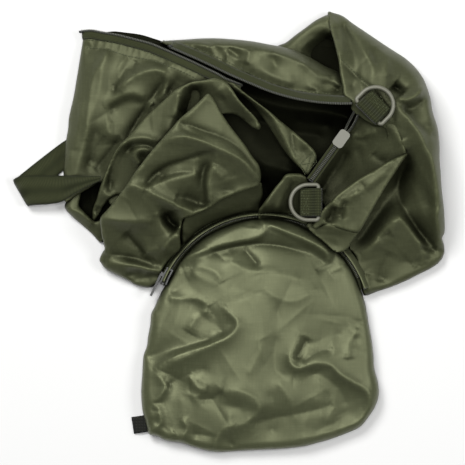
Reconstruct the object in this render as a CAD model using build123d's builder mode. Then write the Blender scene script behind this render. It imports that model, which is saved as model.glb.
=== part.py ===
"""A packable nylon duffel for ropes, lying crumpled and empty on a table.

The bag is a heap of thin fabric round an open mouth. A carry handle lies out to the left, two D-rings
stand on webbing tabs, the main zip is half open, and a D-shaped stow pouch lies turned out in front.
+X is to the right, +Y to the back of the heap, +Z up. The origin is on the table, under the middle.
"""

import os
from math import cos, radians, sin

from build123d import *

# ---------------------------------------------------------------- driving dimensions, millimetres
heap_left = -147.0        # the folded left end of the bag
heap_right = 192.0        # the right end
heap_back = 195.0         # the tip of the fabric that stands up at the back
heap_height = 68.0        # the top of the front panel's bulge
bottom_thickness = 2.0    # the plies of the bottom panel, pressed flat
fold_gap = 1.0            # between two folds of fabric

webbing_width = 25.0
webbing_thickness = 1.2
handle_reach = 45.0       # how far the carry handle lies out from the left end
handle_strap = 1.6        # the handle's doubled webbing
handle_lift = 12.0        # the upper strand of the handle over the table

ring_wire = 3.4           # diameter of the D-ring's wire
ring_width = webbing_width + ring_wire + 2.6   # between the wire's centres, clear of the webbing
ring_leg = 9.0            # the straight stretch before the round end
ring_corner = 2.4         # bend between the bar and a leg, at the wire's centre
ring_running_gap = 0.3    # between the bar and the webbing rolled round it
tab_length = 19.0

tape_width = 12.0
tape_thickness = 1.0
coil_width = 2.2
coil_height = 2.0
falling_width = 4.0       # the back tape where it drops on edge to the slider
coil_gap = 0.8            # from the middle of a closed chain to each half
slider_length = 16.0
slider_width = 10.0
slider_plate = 1.2
slider_gap = 0.4          # between the slider and what it runs on
closed_chain = 44.0       # the closed stretch of the main zip, from its slider to its end
main_puller_length = 20.0
main_puller_width = 6.0
main_puller_thickness = 1.4

pouch_centre = (30.0, -79.0)   # the middle of the pouch's round end
pouch_radius = 96.0            # the pouch's round end, over its zip
pouch_front = -195.0           # the front edge of the pouch
pouch_thickness = 22.0
pouch_back_ply = 2.4
pouch_zip_height = 13.0        # the middle of the pouch's zip over the table
pouch_tape_height = 12.0
pouch_zip_start = 154.7        # degrees round the round end, from +X
pouch_zip_sweep = 132.0
pouch_puller_length = 23.0
pouch_puller_width = 5.0
pouch_puller_thickness = 2.0
pouch_side_room = 8.5          # from the zip's coil to the bag, for the slider and its puller

loop_outer = 3.8               # the loop under the main slider that holds its puller
loop_inner = 2.2
loop_play = 0.5
hem_width = 4.0
hem_thickness = 1.6
label_width = 12.6
label_length = 15.6
label_thickness = 0.6
label_height = 1.6             # the label's underside over the table

# ---------------------------------------------------------------- what follows from them
ply_top = bottom_thickness
puller_room = main_puller_length * 0.75
wire_radius = ring_wire / 2
bar_hole = wire_radius + ring_running_gap
bar_roll = bar_hole + webbing_thickness
ring_height = 2 * webbing_thickness + bar_hole + 0.2

coil_inner = pouch_radius - coil_height
tape_inner = coil_inner - tape_thickness
pouch_keep_out = pouch_radius + pouch_side_room
peak = Vector(heap_right - 102, heap_back)

# Sloping tops of the heap: height at the origin, then the rise per millimetre of x and of y
top_slope = (50.0, 0.26, 0.0)
front_slope = (27.0, 0.0, 0.52)
back_slope = (37.0, 0.15, 0.0)
gusset_slope = (20.0, 0.0, 0.43)
facing_height = 34.0
right_height = 58.0


def height_on(slope, x, y):
    """Height of a sloping top over the point x, y."""
    level, rise_x, rise_y = slope
    return level + rise_x * x + rise_y * y


def plane_on(slope):
    """The plane of a sloping top."""
    level, rise_x, rise_y = slope
    return Plane(origin=(0, 0, level), x_dir=(1, 0, rise_x), z_dir=(-rise_x, -rise_y, 1))


def raised(slope, points):
    """The points x, y lifted onto a sloping top."""
    return [Vector(x, y, height_on(slope, x, y)) for x, y in points]


def outline_face(points, level=ply_top):
    """A flat face with the given corners."""
    with BuildSketch(Plane.XY.offset(level)) as sketch:
        with BuildLine():
            Polyline(*points, close=True)
        make_face()
    return sketch.sketch


def strip_frames(points, up):
    """A frame at the start of each run of a strip, with its x along the run, and the run's length."""
    frames = []
    for start, end in zip(points, points[1:]):
        run = end - start
        side = Vector(*up).cross(run).normalized()
        frames.append((Plane(origin=start, x_dir=run, z_dir=run.cross(side)), run.length))
    return frames


def strip(points, up, near, far, low, high):
    """A flat strip along the points, from near to far on its left and from low to high over it."""
    with BuildPart() as part:
        for frame, length in strip_frames(points, up):
            with BuildSketch(frame.offset(low)):
                with Locations((length / 2, (near + far) / 2)):
                    Rectangle(length + 0.4, abs(far - near))
            extrude(amount=high - low)
    return part.part


def sector(inner, outer, start, sweep, level):
    """The flat foot of a piece of a ring round the pouch's round end."""
    with BuildSketch(Plane.XY.offset(level)) as sketch:
        with BuildLine():
            inside = CenterArc(pouch_centre, inner, start, sweep)
            outside = CenterArc(pouch_centre, outer, start, sweep)
            Line(inside @ 0, outside @ 0)
            Line(inside @ 1, outside @ 1)
        make_face()
    return sketch.sketch


def save(piece, name):
    """Label a finished piece and write it."""
    piece.label = name
    export_step(piece, f"parts/{name}.step")


os.makedirs("parts", exist_ok=True)

# ---------------------------------------------------------------- the pouch's outline
# A round end towards the bag, sides that spread a little, and a front edge with full corners.
pouch_left = pouch_centre[0] - tape_inner
pouch_right = pouch_centre[0] + tape_inner
pouch_corners = [
    (pouch_right, pouch_centre[1]),
    (pouch_right + 9, -145),
    (pouch_right - 8, pouch_front + 19),
    (66, pouch_front + 5),
    (-12, pouch_front),
    (pouch_left - 7, pouch_front + 12),
    (pouch_left - 13, -148),
    (pouch_left, pouch_centre[1]),
]

with BuildSketch() as pouch_outline:
    with BuildLine():
        CenterArc(pouch_centre, tape_inner, 0, 180)
        Polyline(*pouch_corners)
    make_face()
    fillet([v for v in pouch_outline.vertices() if v.Y < pouch_centre[1] - 10], radius=12)

# The room that the pouch, its slider and its puller need inside the heap.
with BuildPart() as pouch_room:
    with BuildSketch():
        with Locations(pouch_centre):
            Circle(pouch_keep_out)
    extrude(amount=heap_height)

# ---------------------------------------------------------------- the bag's fabric, in folds
# Outer corners of the heap, from the left end round the back to the right and the front.
left_edge = [(heap_left + 1, 51), (heap_left + 2, 80), (heap_left + 6, 102), (heap_left + 13, 139)]
back_left = (heap_left + 20, 175)
back_edge = [(-57, 168.5), (-18, 170.5), (47, 163.5), (84, 145.5)]
right_edge = [
    (peak.X + 12, peak.Y - 3),
    (heap_right - 72, 178),
    (heap_right - 47, 161),
    (heap_right - 29, 145),
    (heap_right - 18, 131),
    (heap_right - 12, 108),
    (heap_right - 7, 90),
    (heap_right - 6, 62),
]
right_front_edge = [
    (heap_right - 4, 37),
    (heap_right - 1, 20),
    (heap_right, 2),
    (heap_right - 3, -4),
    (heap_right - 1, -19),
    (heap_right - 5, -26),
    (heap_right - 23, -36),
    (heap_right - 47, -47),
    (123, -56),
]
left_front_edge = [(-62, -48), (-82, -45), (-97, -38), (-110, -31), (-115, -24), (-112, -16), (-114, -8)]

# The bottom panel lies flat under the heap and stops short of the pouch.
with BuildPart() as bottom_panel:
    with BuildSketch() as bottom_sketch:
        with BuildLine():
            Polyline(
                *left_front_edge, (heap_left + 2, 27), *left_edge, back_left, *back_edge, (peak.X, peak.Y),
                *right_edge, *right_front_edge, close=True,
            )
        make_face()
        offset(amount=-3, kind=Kind.INTERSECTION)
    extrude(amount=bottom_thickness)
    add(pouch_room.part, mode=Mode.SUBTRACT)
save(bottom_panel.part, "bottom_panel")

# The top panel: the flat part of the bag along the front half of the zip.
front_chain_line = [(heap_left + 17, 175.5), (-84.5, 171), (-26, 143.5)]
fold_line = [(-47, 125), (-62, 112.5), (-89, 82), (-99, 74), (-109, 52)]
top_foot = [*left_edge, (heap_left + 19, 174), (-85, 169.5), (-9, 134), (-32, 131.5), *fold_line]
with BuildPart() as top_panel:
    add(outline_face(top_foot))
    extrude(amount=heap_height)
    split(bisect_by=plane_on(top_slope), keep=Keep.BOTTOM)
    # The rear end of the handle's webbing is sewn in under the panel.
    with BuildSketch(Plane.XY.offset(ply_top)):
        with Locations((heap_left + 15, 68.5)):
            Rectangle(31, webbing_width + 2 * fold_gap)
    extrude(amount=handle_strap + 0.2, mode=Mode.SUBTRACT)
save(top_panel.part, "top_panel")

# The left end panel lies below the handle.
left_foot = [(heap_left + 1, 50), (heap_left + 2, 27), (-115, -8), (-123, 10), (-117, 33), (-110, 50)]
with BuildPart() as left_end_panel:
    add(outline_face(left_foot))
    extrude(amount=heap_height)
    split(bisect_by=plane_on(top_slope), keep=Keep.BOTTOM)
save(left_end_panel.part, "left_end_panel")

# The front panel stands up in one big bulge and falls to the table in front.
bulge_foot = [
    (-7, 133), (8, 118), (22, 100), (27, 72), (29, 48), (14, 36), (-40, 11), (-43, -8),
    *left_front_edge, (-121.5, 9), (-115.5, 33),
    (-108, 51), (-98, 73), (-88, 81), (-61, 111), (-46, 123.5), (-31, 130),
]
with BuildPart() as front_panel:
    add(outline_face(bulge_foot))
    extrude(amount=heap_height - ply_top)
    split(bisect_by=plane_on(front_slope), keep=Keep.BOTTOM)
    add(pouch_room.part, mode=Mode.SUBTRACT)
save(front_panel.part, "front_panel")

# The back panel runs behind the zip to the back edge.
back_chain_line = [(-56, 166), (18.5, 133), (54, 119.5), (91, 117.5)]
back_foot = [*back_edge, (101, 119), (54.5, 121.5), (19, 135)]
with BuildPart() as back_panel:
    add(outline_face(back_foot))
    extrude(amount=heap_height)
    split(bisect_by=plane_on(back_slope), keep=Keep.BOTTOM)
save(back_panel.part, "back_panel")

# The right end panel carries the upper ring, and its corner stands up at the back.
right_foot = [
    (112, 71), (112, 112), (89, 147), (peak.X - 2, peak.Y), (peak.X + 3, peak.Y), *right_edge,
    (142, 63), (118, 54),
]
with BuildPart() as right_end_panel:
    add(outline_face(right_foot))
    extrude(amount=right_height - ply_top)
save(right_end_panel.part, "right_end_panel")

# The gusset lies between the right end and the pouch.
gusset_foot = [
    (119.5, 52), (142.5, 61.5), (heap_right - 6, 60.5), *right_front_edge,
    (120, -42), (90, 0), (84, 13), (95, 31),
]
with BuildPart() as side_gusset:
    add(outline_face(gusset_foot))
    extrude(amount=heap_height)
    split(bisect_by=plane_on(gusset_slope), keep=Keep.BOTTOM)
    add(pouch_room.part, mode=Mode.SUBTRACT)
save(side_gusset.part, "side_gusset")

# ---------------------------------------------------------------- the main zip's closed end
# A frame at the middle of the slider: x runs up the chain, away from its closed end.
chain_frame = Plane(origin=(98.6, 82.3, facing_height), x_dir=(0.585, 0.811, 0), z_dir=(0, 0, 1))

# The facing is the fabric inside the mouth, under the closed end of the zip and the lower ring.
facing_foot = [
    (31, 68), (31, 19), (64, 12), (81, 15.5), (92, 33), (116, 53), (105.5, 70), (105.5, 95),
    (88, 95), (76, 68),
]
with BuildPart() as mouth_facing:
    add(outline_face(facing_foot))
    extrude(amount=facing_height - ply_top)
    add(pouch_room.part, mode=Mode.SUBTRACT)
    # A fold under the chain gives room to the slider's lower plate and its puller.
    with BuildSketch(chain_frame):
        with Locations(((slider_length - closed_chain - puller_room) / 2, 0)):
            Rectangle(closed_chain + puller_room + slider_length, slider_width + 2)
    extrude(amount=-puller_room, mode=Mode.SUBTRACT)
save(mouth_facing.part, "mouth_facing")


def chain_half(side, near, far, low, high):
    """One side's strip of the closed stretch, from its end up to the slider's nose."""
    end = slider_length / 2 - 4
    with BuildPart() as part:
        with BuildSketch(chain_frame.offset(low)):
            with Locations(((end - closed_chain) / 2, side * (near + far) / 2)):
                Rectangle(end + closed_chain, far - near)
        extrude(amount=high - low)
    return part.part


chain_top = tape_thickness + coil_height
loop_level = -slider_gap - slider_plate
front_chain = raised(top_slope, front_chain_line)
back_chain = raised(back_slope, back_chain_line)
falling_end = Vector(103, 92, facing_height + 1.5)
falling_chain = [back_chain[-1] + Vector(1.5, -1.5, 1), Vector(99.5, 106, 46), falling_end]
top_normal = plane_on(top_slope).z_dir
back_normal = plane_on(back_slope).z_dir

zip_sides = {"front": (front_chain, top_normal, -1, 1), "back": (back_chain, back_normal, 1, -1)}
for side_name, (line, normal, open_side, closed_side) in zip_sides.items():
    for piece_name, near, far, low, high in [
        ("tape", 0.0, tape_width, 0.0, tape_thickness),
        ("coil", 0.2, 0.2 + coil_width, tape_thickness, chain_top),
    ]:
        with BuildPart() as zip_piece:
            add(strip(line, normal, open_side * near, open_side * far, low, high))
            add(chain_half(closed_side, coil_gap + near, coil_gap + far, low, high))
            if side_name == "back":
                add(strip(falling_chain, (0, 0, 1), near, min(far, falling_width), low, high))
        save(zip_piece.part, f"main_zip_{piece_name}_{side_name}")

# The slider: two plates, a post between them at the nose, and a lip down each side of the upper one.
with BuildPart() as main_zip_slider:
    with BuildSketch(chain_frame.offset(chain_top + slider_gap)):
        RectangleRounded(slider_length, slider_width, 3)
    extrude(amount=slider_plate)
    with BuildSketch(chain_frame.offset(tape_thickness + slider_gap)):
        for edge in (-1, 1):
            with Locations((0, edge * (slider_width - slider_plate) / 2)):
                Rectangle(slider_length - 6, slider_plate)
    extrude(amount=coil_height)
    with BuildSketch(chain_frame.offset(-slider_gap - slider_plate)):
        RectangleRounded(slider_length, slider_width, 3)
    extrude(amount=slider_plate)
    with BuildSketch(chain_frame.offset(-slider_gap - slider_plate)):
        with Locations((slider_length / 2 - 2.5, 0)):
            Rectangle(2.5, coil_gap * 1.2)
    extrude(amount=chain_top + 2 * slider_gap + 2 * slider_plate)
    # A loop under the lower plate holds the puller.
    loop_centre = chain_frame.from_local_coords((0, 1, loop_level))
    with BuildSketch(Plane(origin=loop_centre, x_dir=chain_frame.x_dir, z_dir=-chain_frame.y_dir)):
        Circle(loop_outer)
        Circle(loop_inner, mode=Mode.SUBTRACT)
        with Locations((0, loop_outer / 2)):
            Rectangle(2 * loop_outer, loop_outer, mode=Mode.SUBTRACT)
    extrude(amount=2)
save(main_zip_slider.part, "main_zip_slider")

# Its puller hangs from that loop, back along the closed stretch.
with BuildPart() as main_zip_puller:
    with BuildSketch(chain_frame.offset(loop_level - main_puller_thickness - loop_play)):
        with Locations((-main_puller_length / 2 + 0.8, 0)):
            Rectangle(main_puller_length, main_puller_width)
        with Locations((-2.6, 0)):
            Rectangle(3.6, 2 + 2 * slider_gap, mode=Mode.SUBTRACT)
    extrude(amount=main_puller_thickness)
save(main_zip_puller.part, "main_zip_puller")

# Stops: one across the closed end, and one at the start of each open half.
with BuildPart() as main_zip_stops:
    with BuildSketch(chain_frame.offset(tape_thickness)):
        with Locations((-closed_chain - 1.5, 0)):
            Rectangle(2.6, 2 * (coil_gap + coil_width))
    extrude(amount=coil_height)
    for line, normal in [(front_chain, top_normal), (back_chain, back_normal)]:
        frame, _ = strip_frames(line, normal)[0]
        with BuildSketch(frame.offset(tape_thickness)):
            with Locations((-2, 0)):
                Rectangle(2.4, 2 * coil_width)
        extrude(amount=coil_height)
save(main_zip_stops.part, "main_zip_stops")

# ---------------------------------------------------------------- the D-rings on their tabs
# A frame at the middle of each ring's bar: x along the bar, y to the sewn end of the tab.
ring_frames = {
    "upper": Plane(origin=(121, 104.5, right_height), x_dir=(0.707, -0.707, 0), z_dir=(0, 0, 1)),
    "lower": Plane(origin=(78.5, 26.5, facing_height), x_dir=(0, 1, 0), z_dir=(0, 0, 1)),
}
for ring_name, frame in ring_frames.items():
    roll_centre = frame.from_local_coords((-webbing_width / 2, 0, ring_height))
    roll_end = Plane(origin=roll_centre, x_dir=frame.y_dir, z_dir=frame.x_dir)
    # The tab is a doubled strap, rolled round the bar.
    with BuildPart() as ring_tab:
        with BuildSketch(frame):
            with Locations((0, tab_length / 2)):
                Rectangle(webbing_width, tab_length)
        extrude(amount=2 * webbing_thickness)
        with BuildSketch(roll_end):
            Circle(bar_roll)
        extrude(amount=webbing_width)
        with BuildSketch(roll_end):
            Circle(bar_hole)
        extrude(amount=webbing_width, mode=Mode.SUBTRACT)
    save(ring_tab.part, f"ring_tab_{ring_name}")

    # The ring is one bent wire: a straight bar, two legs and a round end.
    ring_plane = frame.offset(ring_height)
    with BuildPart() as d_ring:
        with BuildLine(ring_plane) as ring_path:
            half = ring_width / 2
            CenterArc((0, ring_leg), half, 0, 180)
            FilletPolyline((-half, ring_leg), (-half, 0), (half, 0), (half, ring_leg), radius=ring_corner)
        with BuildSketch(Plane(origin=ring_plane.from_local_coords((0, 0, 0)), z_dir=ring_plane.x_dir)):
            Circle(wire_radius)
        sweep(path=ring_path.wires()[0])
    save(d_ring.part, f"d_ring_{ring_name}")

# ---------------------------------------------------------------- the carry handle
# Flat webbing, folded back at its tip: the rear strand lies on the table, the upper one over it.
handle_root = heap_left - 0.8
handle_tip = heap_left - handle_reach
tip_back = (handle_tip, 46)
tip_front = (handle_tip + 13.4, 24)
upper_strand = [(handle_root, 50.5), (handle_root, 25.5), tip_front, tip_back, (handle_tip + 6, 50.5)]
rear_strand = [(handle_root, 81), (handle_root, 56), tip_front, tip_back]
with BuildPart() as carry_handle:
    for corners, level in [(upper_strand, handle_lift), (rear_strand, 0.4)]:
        add(outline_face(corners, level))
        extrude(amount=handle_strap)
    folded_tip = [
        tip_front, (tip_front[0] + 2, tip_front[1] + 0.6),
        (tip_back[0] + 2, tip_back[1] + 0.6), tip_back,
    ]
    add(outline_face(folded_tip, 0.4))
    extrude(amount=handle_lift + handle_strap - 0.4)
save(carry_handle.part, "carry_handle")

# Its two ends are sewn down, the front one on top of the end panel and the rear one under the top panel.
with BuildPart() as handle_sewn_ends:
    front_patch = raised(top_slope, [(heap_left + 1, 38), (heap_left + 29, 38)])
    add(strip(front_patch, top_normal, -webbing_width / 2, webbing_width / 2 - 1, 0, handle_strap))
    with BuildSketch(Plane.XY.offset(ply_top)):
        with Locations((heap_left + 15.5, 68.5)):
            Rectangle(29, webbing_width)
    extrude(amount=handle_strap)
save(handle_sewn_ends.part, "handle_sewn_ends")

# ---------------------------------------------------------------- the stow pouch
with BuildPart() as pouch_back_panel:
    add(pouch_outline.sketch)
    extrude(amount=pouch_back_ply)
save(pouch_back_panel.part, "pouch_back_panel")

groove_depth = slider_plate + 2 * slider_gap
slider_low = pouch_zip_height - slider_width / 2
with BuildPart() as pouch_front_panel:
    with BuildSketch(Plane.XY.offset(pouch_back_ply)):
        add(pouch_outline.sketch)
    extrude(amount=pouch_thickness - pouch_back_ply)
    fillet(pouch_front_panel.faces().sort_by(Axis.Z)[-1].edges(), radius=3)
    # A shallow fold behind the zip's tape lets the slider's inner plate run.
    groove = sector(tape_inner - groove_depth, tape_inner + 1, 0, 180, slider_low - slider_gap)
    extrude(groove, amount=slider_width + 2 * slider_gap, mode=Mode.SUBTRACT)
save(pouch_front_panel.part, "pouch_front_panel")

zip_low = pouch_zip_height - pouch_tape_height / 2
zip_end = pouch_zip_start + 5
zip_sweep = pouch_zip_sweep + 10
with BuildPart() as pouch_zip_tape:
    half_tape = pouch_tape_height / 2 - coil_gap
    for low in (zip_low, pouch_zip_height + coil_gap):
        extrude(sector(tape_inner, coil_inner, zip_end, -zip_sweep, low), amount=half_tape)
save(pouch_zip_tape.part, "pouch_zip_tape")

with BuildPart() as pouch_zip_coil:
    for low in (pouch_zip_height - coil_gap - coil_width, pouch_zip_height + coil_gap):
        extrude(sector(coil_inner, pouch_radius, zip_end - 1, -(zip_sweep - 2), low), amount=coil_width)
save(pouch_zip_coil.part, "pouch_zip_coil")

with BuildPart() as pouch_zip_stops:
    for start in (zip_end, zip_end - zip_sweep + 1):
        stop = sector(coil_inner, pouch_radius, start, -1, pouch_zip_height - coil_width)
        extrude(stop, amount=2 * coil_width)
save(pouch_zip_stops.part, "pouch_zip_stops")

# Its slider runs on edge round the round end, with the puller hinged on an upright pin.
slider_sweep = 9.0
lug_reach = pouch_puller_width / 2 + slider_gap + slider_plate
slider_start = pouch_zip_start + slider_sweep / 2
plate_inner = pouch_radius + slider_gap
plate_outer = plate_inner + slider_plate
with BuildPart() as pouch_zip_slider:
    inner_face = tape_inner - slider_gap
    for inner, outer in [(plate_inner, plate_outer), (inner_face - slider_plate, inner_face)]:
        extrude(sector(inner, outer, slider_start, -slider_sweep, slider_low), amount=slider_width)
    post = sector(inner_face - slider_plate / 2, plate_inner + slider_plate / 2, slider_start - 8, -1,
                  pouch_zip_height - coil_gap / 2)
    extrude(post, amount=coil_gap)
    # Two lugs hold the pin.
    for low in (pouch_zip_height - lug_reach, pouch_zip_height + lug_reach - slider_plate):
        lug = sector(plate_outer - 0.2, plate_outer + 2.6, pouch_zip_start + 1, -2, low)
        extrude(lug, amount=slider_plate)
save(pouch_zip_slider.part, "pouch_zip_slider")

pin_angle = radians(pouch_zip_start)
pin_radius = plate_outer + 1.5
pin_point = (pouch_centre[0] + pin_radius * cos(pin_angle), pouch_centre[1] + pin_radius * sin(pin_angle))
puller_frame = Plane(
    origin=(*pin_point, pouch_zip_height),
    x_dir=(-sin(pin_angle), cos(pin_angle), 0),
    z_dir=(cos(pin_angle), sin(pin_angle), 0),
)
with BuildPart() as pouch_zip_puller:
    with BuildSketch(puller_frame.offset(-0.5)):
        with Locations((pouch_puller_length / 2 - 1.2, 0)):
            Rectangle(pouch_puller_length, pouch_puller_width)
    extrude(amount=pouch_puller_thickness)
save(pouch_zip_puller.part, "pouch_zip_puller")

# The bound hem of the bag that the pouch hangs from, along the foot of the bulge.
with BuildPart() as pouch_hem_band:
    hem_line = raised(front_slope, [(-37, 14), (-15, 25), (12, 37.5), (26, 48)])
    add(strip(hem_line, plane_on(front_slope).z_dir, 0, hem_width, 0, hem_thickness))
save(pouch_hem_band.part, "pouch_hem_band")

# A blank side label, sewn into the pouch's left seam.
label_seam = (Vector(-74.6, -162.5), Vector(-72.3, -177.5))
label_frame = Plane(
    origin=(label_seam[0] + label_seam[1]) / 2 + Vector(0, 0, label_height),
    x_dir=label_seam[1] - label_seam[0],
    z_dir=(0, 0, 1),
)
with BuildPart() as side_label:
    with BuildSketch(label_frame):
        with Locations((0, -label_width / 2 - 0.3)):
            Rectangle(label_length, label_width)
    extrude(amount=label_thickness)
save(side_label.part, "side_label")
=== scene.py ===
"""Looks of the rope storage bag: a crumpled nylon bag that lies open on a pale floor, its pouch in front.

Lengths and heights of the cloth, straps and zips are in mm in the object's frame; add_mesh turns them into
metres. Lights, camera and floor are in metres."""
import math

import bmesh
import bpy
import numpy as np
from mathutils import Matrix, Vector
from mathutils.geometry import delaunay_2d_cdt


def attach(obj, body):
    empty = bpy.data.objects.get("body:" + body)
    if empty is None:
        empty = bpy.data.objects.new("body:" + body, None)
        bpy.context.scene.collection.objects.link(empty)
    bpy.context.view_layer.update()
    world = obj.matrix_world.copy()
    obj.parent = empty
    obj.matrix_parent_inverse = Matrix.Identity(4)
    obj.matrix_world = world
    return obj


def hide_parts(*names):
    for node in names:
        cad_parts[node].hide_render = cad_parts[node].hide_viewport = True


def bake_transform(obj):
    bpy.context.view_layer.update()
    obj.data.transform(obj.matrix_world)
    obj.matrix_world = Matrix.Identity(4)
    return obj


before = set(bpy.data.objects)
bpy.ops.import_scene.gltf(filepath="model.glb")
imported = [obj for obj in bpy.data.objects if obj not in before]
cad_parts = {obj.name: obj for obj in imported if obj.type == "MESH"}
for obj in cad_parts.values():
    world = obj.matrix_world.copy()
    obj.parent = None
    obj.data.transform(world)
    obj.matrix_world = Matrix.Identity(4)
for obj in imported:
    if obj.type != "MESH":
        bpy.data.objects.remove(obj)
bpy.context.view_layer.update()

MM = 0.001
GRID = 1.25        # distance between the points of the fabric, in mm
ROLL = 2.4                               # radius of a folded edge, in mm
SHOULDER = 10.0                          # most width over which the heap rounds off to the floor, in mm
CLOTH_FOOT = 0.6                         # lowest height of the bag's cloth over the floor, in mm
ROLL_SHARE, ON_FLOOR = 2, 3              # columns of a Fabric's edge: share of the roll, and 1 on the floor
OLIVE_GLOSS = (0.80, 0.84, 0.50, 1)      # colour of the light that the coated cloth reflects


# ---------------------------------------------------------------- materials
CREASE_REACH = 0.04           # how far off a wall of cloth still darkens a crease, in m
CREASE_DEPTH = 0.05           # share of the light at the bottom of a crease
METAL_MARKS = 0.1             # how much the marks on metal and plastic change its roughness


def shader(name, base_rough, specular=0.5):
    """A new material with that roughness and specular level: itself, its nodes, its links and its shader."""
    material = bpy.data.materials.new(name)
    material.use_nodes = True
    nodes = material.node_tree.nodes
    surface = nodes["Principled BSDF"]
    surface.inputs["Roughness"].default_value = base_rough
    surface.inputs["Specular IOR Level"].default_value = specular
    return material, nodes, material.node_tree.links, surface


def add_node(nodes, kind, **inputs):
    """A node of that kind, with constant values on its named sockets."""
    node = nodes.new(kind)
    for socket, value in inputs.items():
        node.inputs[socket.replace("_", " ")].default_value = value
    return node


def weave_height(nodes, links, place, across, along):
    """Threads over and under each other, as a height from 0 to 1."""
    total = nodes.new("ShaderNodeMath")
    total.operation = "MULTIPLY"
    for socket, (direction, scale) in enumerate((("X", across), ("Y", along))):
        wave = add_node(nodes, "ShaderNodeTexWave", Scale=scale, Distortion=0.6, Detail=1.0)
        wave.bands_direction = direction
        links.new(place, wave.inputs["Vector"])
        links.new(wave.outputs["Fac"], total.inputs[socket])
    return total.outputs[0]


def thread_streaks(nodes, links, place):
    """Thicker and thinner threads along both directions of the weave, as a value from 0 to 1."""
    total = nodes.new("ShaderNodeMath")
    total.operation = "MULTIPLY"
    for socket, stretch in enumerate(((900.0, 70.0, 300.0), (70.0, 900.0, 300.0))):
        along = nodes.new("ShaderNodeMapping")
        along.inputs["Scale"].default_value = stretch
        links.new(place, along.inputs["Vector"])
        grain = add_node(nodes, "ShaderNodeTexNoise", Scale=1.0, Detail=2.0)
        links.new(along.outputs["Vector"], grain.inputs["Vector"])
        wide = add_node(nodes, "ShaderNodeMapRange", From_Min=0.3, From_Max=0.7)
        links.new(grain.outputs["Fac"], wide.inputs["Value"])
        links.new(wide.outputs["Result"], total.inputs[socket])
    return total.outputs[0]


def crease_light(nodes, links):
    """How open a place is to the light, as a grey that falls to CREASE_DEPTH in creases and hollows."""
    hollow = add_node(nodes, "ShaderNodeAmbientOcclusion", Distance=CREASE_REACH)
    hollow.samples = 6
    ramp = nodes.new("ShaderNodeValToRGB")
    ramp.color_ramp.elements[0].position = 0.32
    ramp.color_ramp.elements[0].color = (CREASE_DEPTH, CREASE_DEPTH, CREASE_DEPTH, 1)
    ramp.color_ramp.elements[1].position = 0.9
    links.new(hollow.outputs["AO"], ramp.inputs["Fac"])
    return ramp.outputs["Color"]


def blend_colours(nodes, dark, light):
    """A node that mixes two constant colours, and whose factor is still to be linked."""
    mixed = nodes.new("ShaderNodeMix")
    mixed.data_type = "RGBA"
    mixed.inputs["A"].default_value = (*dark, 1)
    mixed.inputs["B"].default_value = (*light, 1)
    return mixed


def multiply_colours(nodes, links, first, second):
    """One colour multiplied by another."""
    mixed = nodes.new("ShaderNodeMix")
    mixed.data_type = "RGBA"
    mixed.blend_type = "MULTIPLY"
    mixed.inputs["Factor"].default_value = 1.0
    links.new(first, mixed.inputs["A"])
    links.new(second, mixed.inputs["B"])
    return mixed.outputs["Result"]


def nylon(name, dark, light, rough, shine):
    """Thin coated nylon: a fine weave, a satin sheen, soft crinkles, ridges paler as wear and as painted
    highlight, and painted shade in creases.
    """
    material, nodes, links, surface = shader(name, rough, shine)
    surface.inputs["Specular Tint"].default_value = OLIVE_GLOSS
    place = nodes.new("ShaderNodeTexCoord").outputs["Object"]
    patches = add_node(nodes, "ShaderNodeTexNoise", Scale=14.0, Detail=4.0, Roughness=0.6)
    links.new(place, patches.inputs["Vector"])
    tint = blend_colours(nodes, dark, light)
    slubs = nodes.new("ShaderNodeMath")
    slubs.operation = "MULTIPLY_ADD"
    slubs.inputs[1].default_value = 0.5
    links.new(thread_streaks(nodes, links, place), slubs.inputs[0])
    links.new(patches.outputs["Fac"], slubs.inputs[2])
    even = add_node(nodes, "ShaderNodeMapRange", From_Min=0.3, From_Max=1.2)
    links.new(slubs.outputs[0], even.inputs["Value"])
    links.new(even.outputs["Result"], tint.inputs["Factor"])
    # Pointiness ramp: convex ridges paler, partly as wear and partly as painted highlight; concave creases
    # darker, as painted shade.
    ridge_wear_and_crease_shade = nodes.new("ShaderNodeValToRGB")
    ridge_wear_and_crease_shade.color_ramp.elements[0].position = 0.47
    ridge_wear_and_crease_shade.color_ramp.elements[0].color = (0.72, 0.72, 0.72, 1)
    ridge_wear_and_crease_shade.color_ramp.elements[1].position = 0.56
    ridge_wear_and_crease_shade.color_ramp.elements[1].color = (1.18, 1.18, 1.16, 1)
    links.new(nodes.new("ShaderNodeNewGeometry").outputs["Pointiness"], ridge_wear_and_crease_shade.inputs["Fac"])
    colour = multiply_colours(nodes, links, tint.outputs["Result"], ridge_wear_and_crease_shade.outputs["Color"])
    openness = crease_light(nodes, links)
    links.new(multiply_colours(nodes, links, colour, openness), surface.inputs["Base Color"])
    shine_level = add_node(nodes, "ShaderNodeMapRange", To_Max=shine)
    links.new(openness, shine_level.inputs["Value"])
    links.new(shine_level.outputs["Result"], surface.inputs["Specular IOR Level"])
    gloss = add_node(nodes, "ShaderNodeMapRange", From_Min=0.3, From_Max=0.7,
                     To_Min=rough - 0.05, To_Max=rough + 0.08)
    links.new(patches.outputs["Fac"], gloss.inputs["Value"])
    links.new(gloss.outputs["Result"], surface.inputs["Roughness"])
    surface.inputs["Sheen Weight"].default_value = 0.08
    surface.inputs["Sheen Roughness"].default_value = 0.4
    surface.inputs["Sheen Tint"].default_value = (*light, 1)
    crinkle = add_node(nodes, "ShaderNodeTexNoise", Scale=70.0, Detail=3.0, Roughness=0.55)
    crinkle.noise_type = "RIDGED_MULTIFRACTAL"
    links.new(place, crinkle.inputs["Vector"])
    soft = add_node(nodes, "ShaderNodeBump", Strength=0.25, Distance=0.0008)
    links.new(crinkle.outputs["Fac"], soft.inputs["Height"])
    threads = add_node(nodes, "ShaderNodeBump", Strength=0.25, Distance=0.0001)
    links.new(weave_height(nodes, links, place, 420.0, 420.0), threads.inputs["Height"])
    links.new(soft.outputs["Normal"], threads.inputs["Normal"])
    links.new(threads.outputs["Normal"], surface.inputs["Normal"])
    return material


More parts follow.
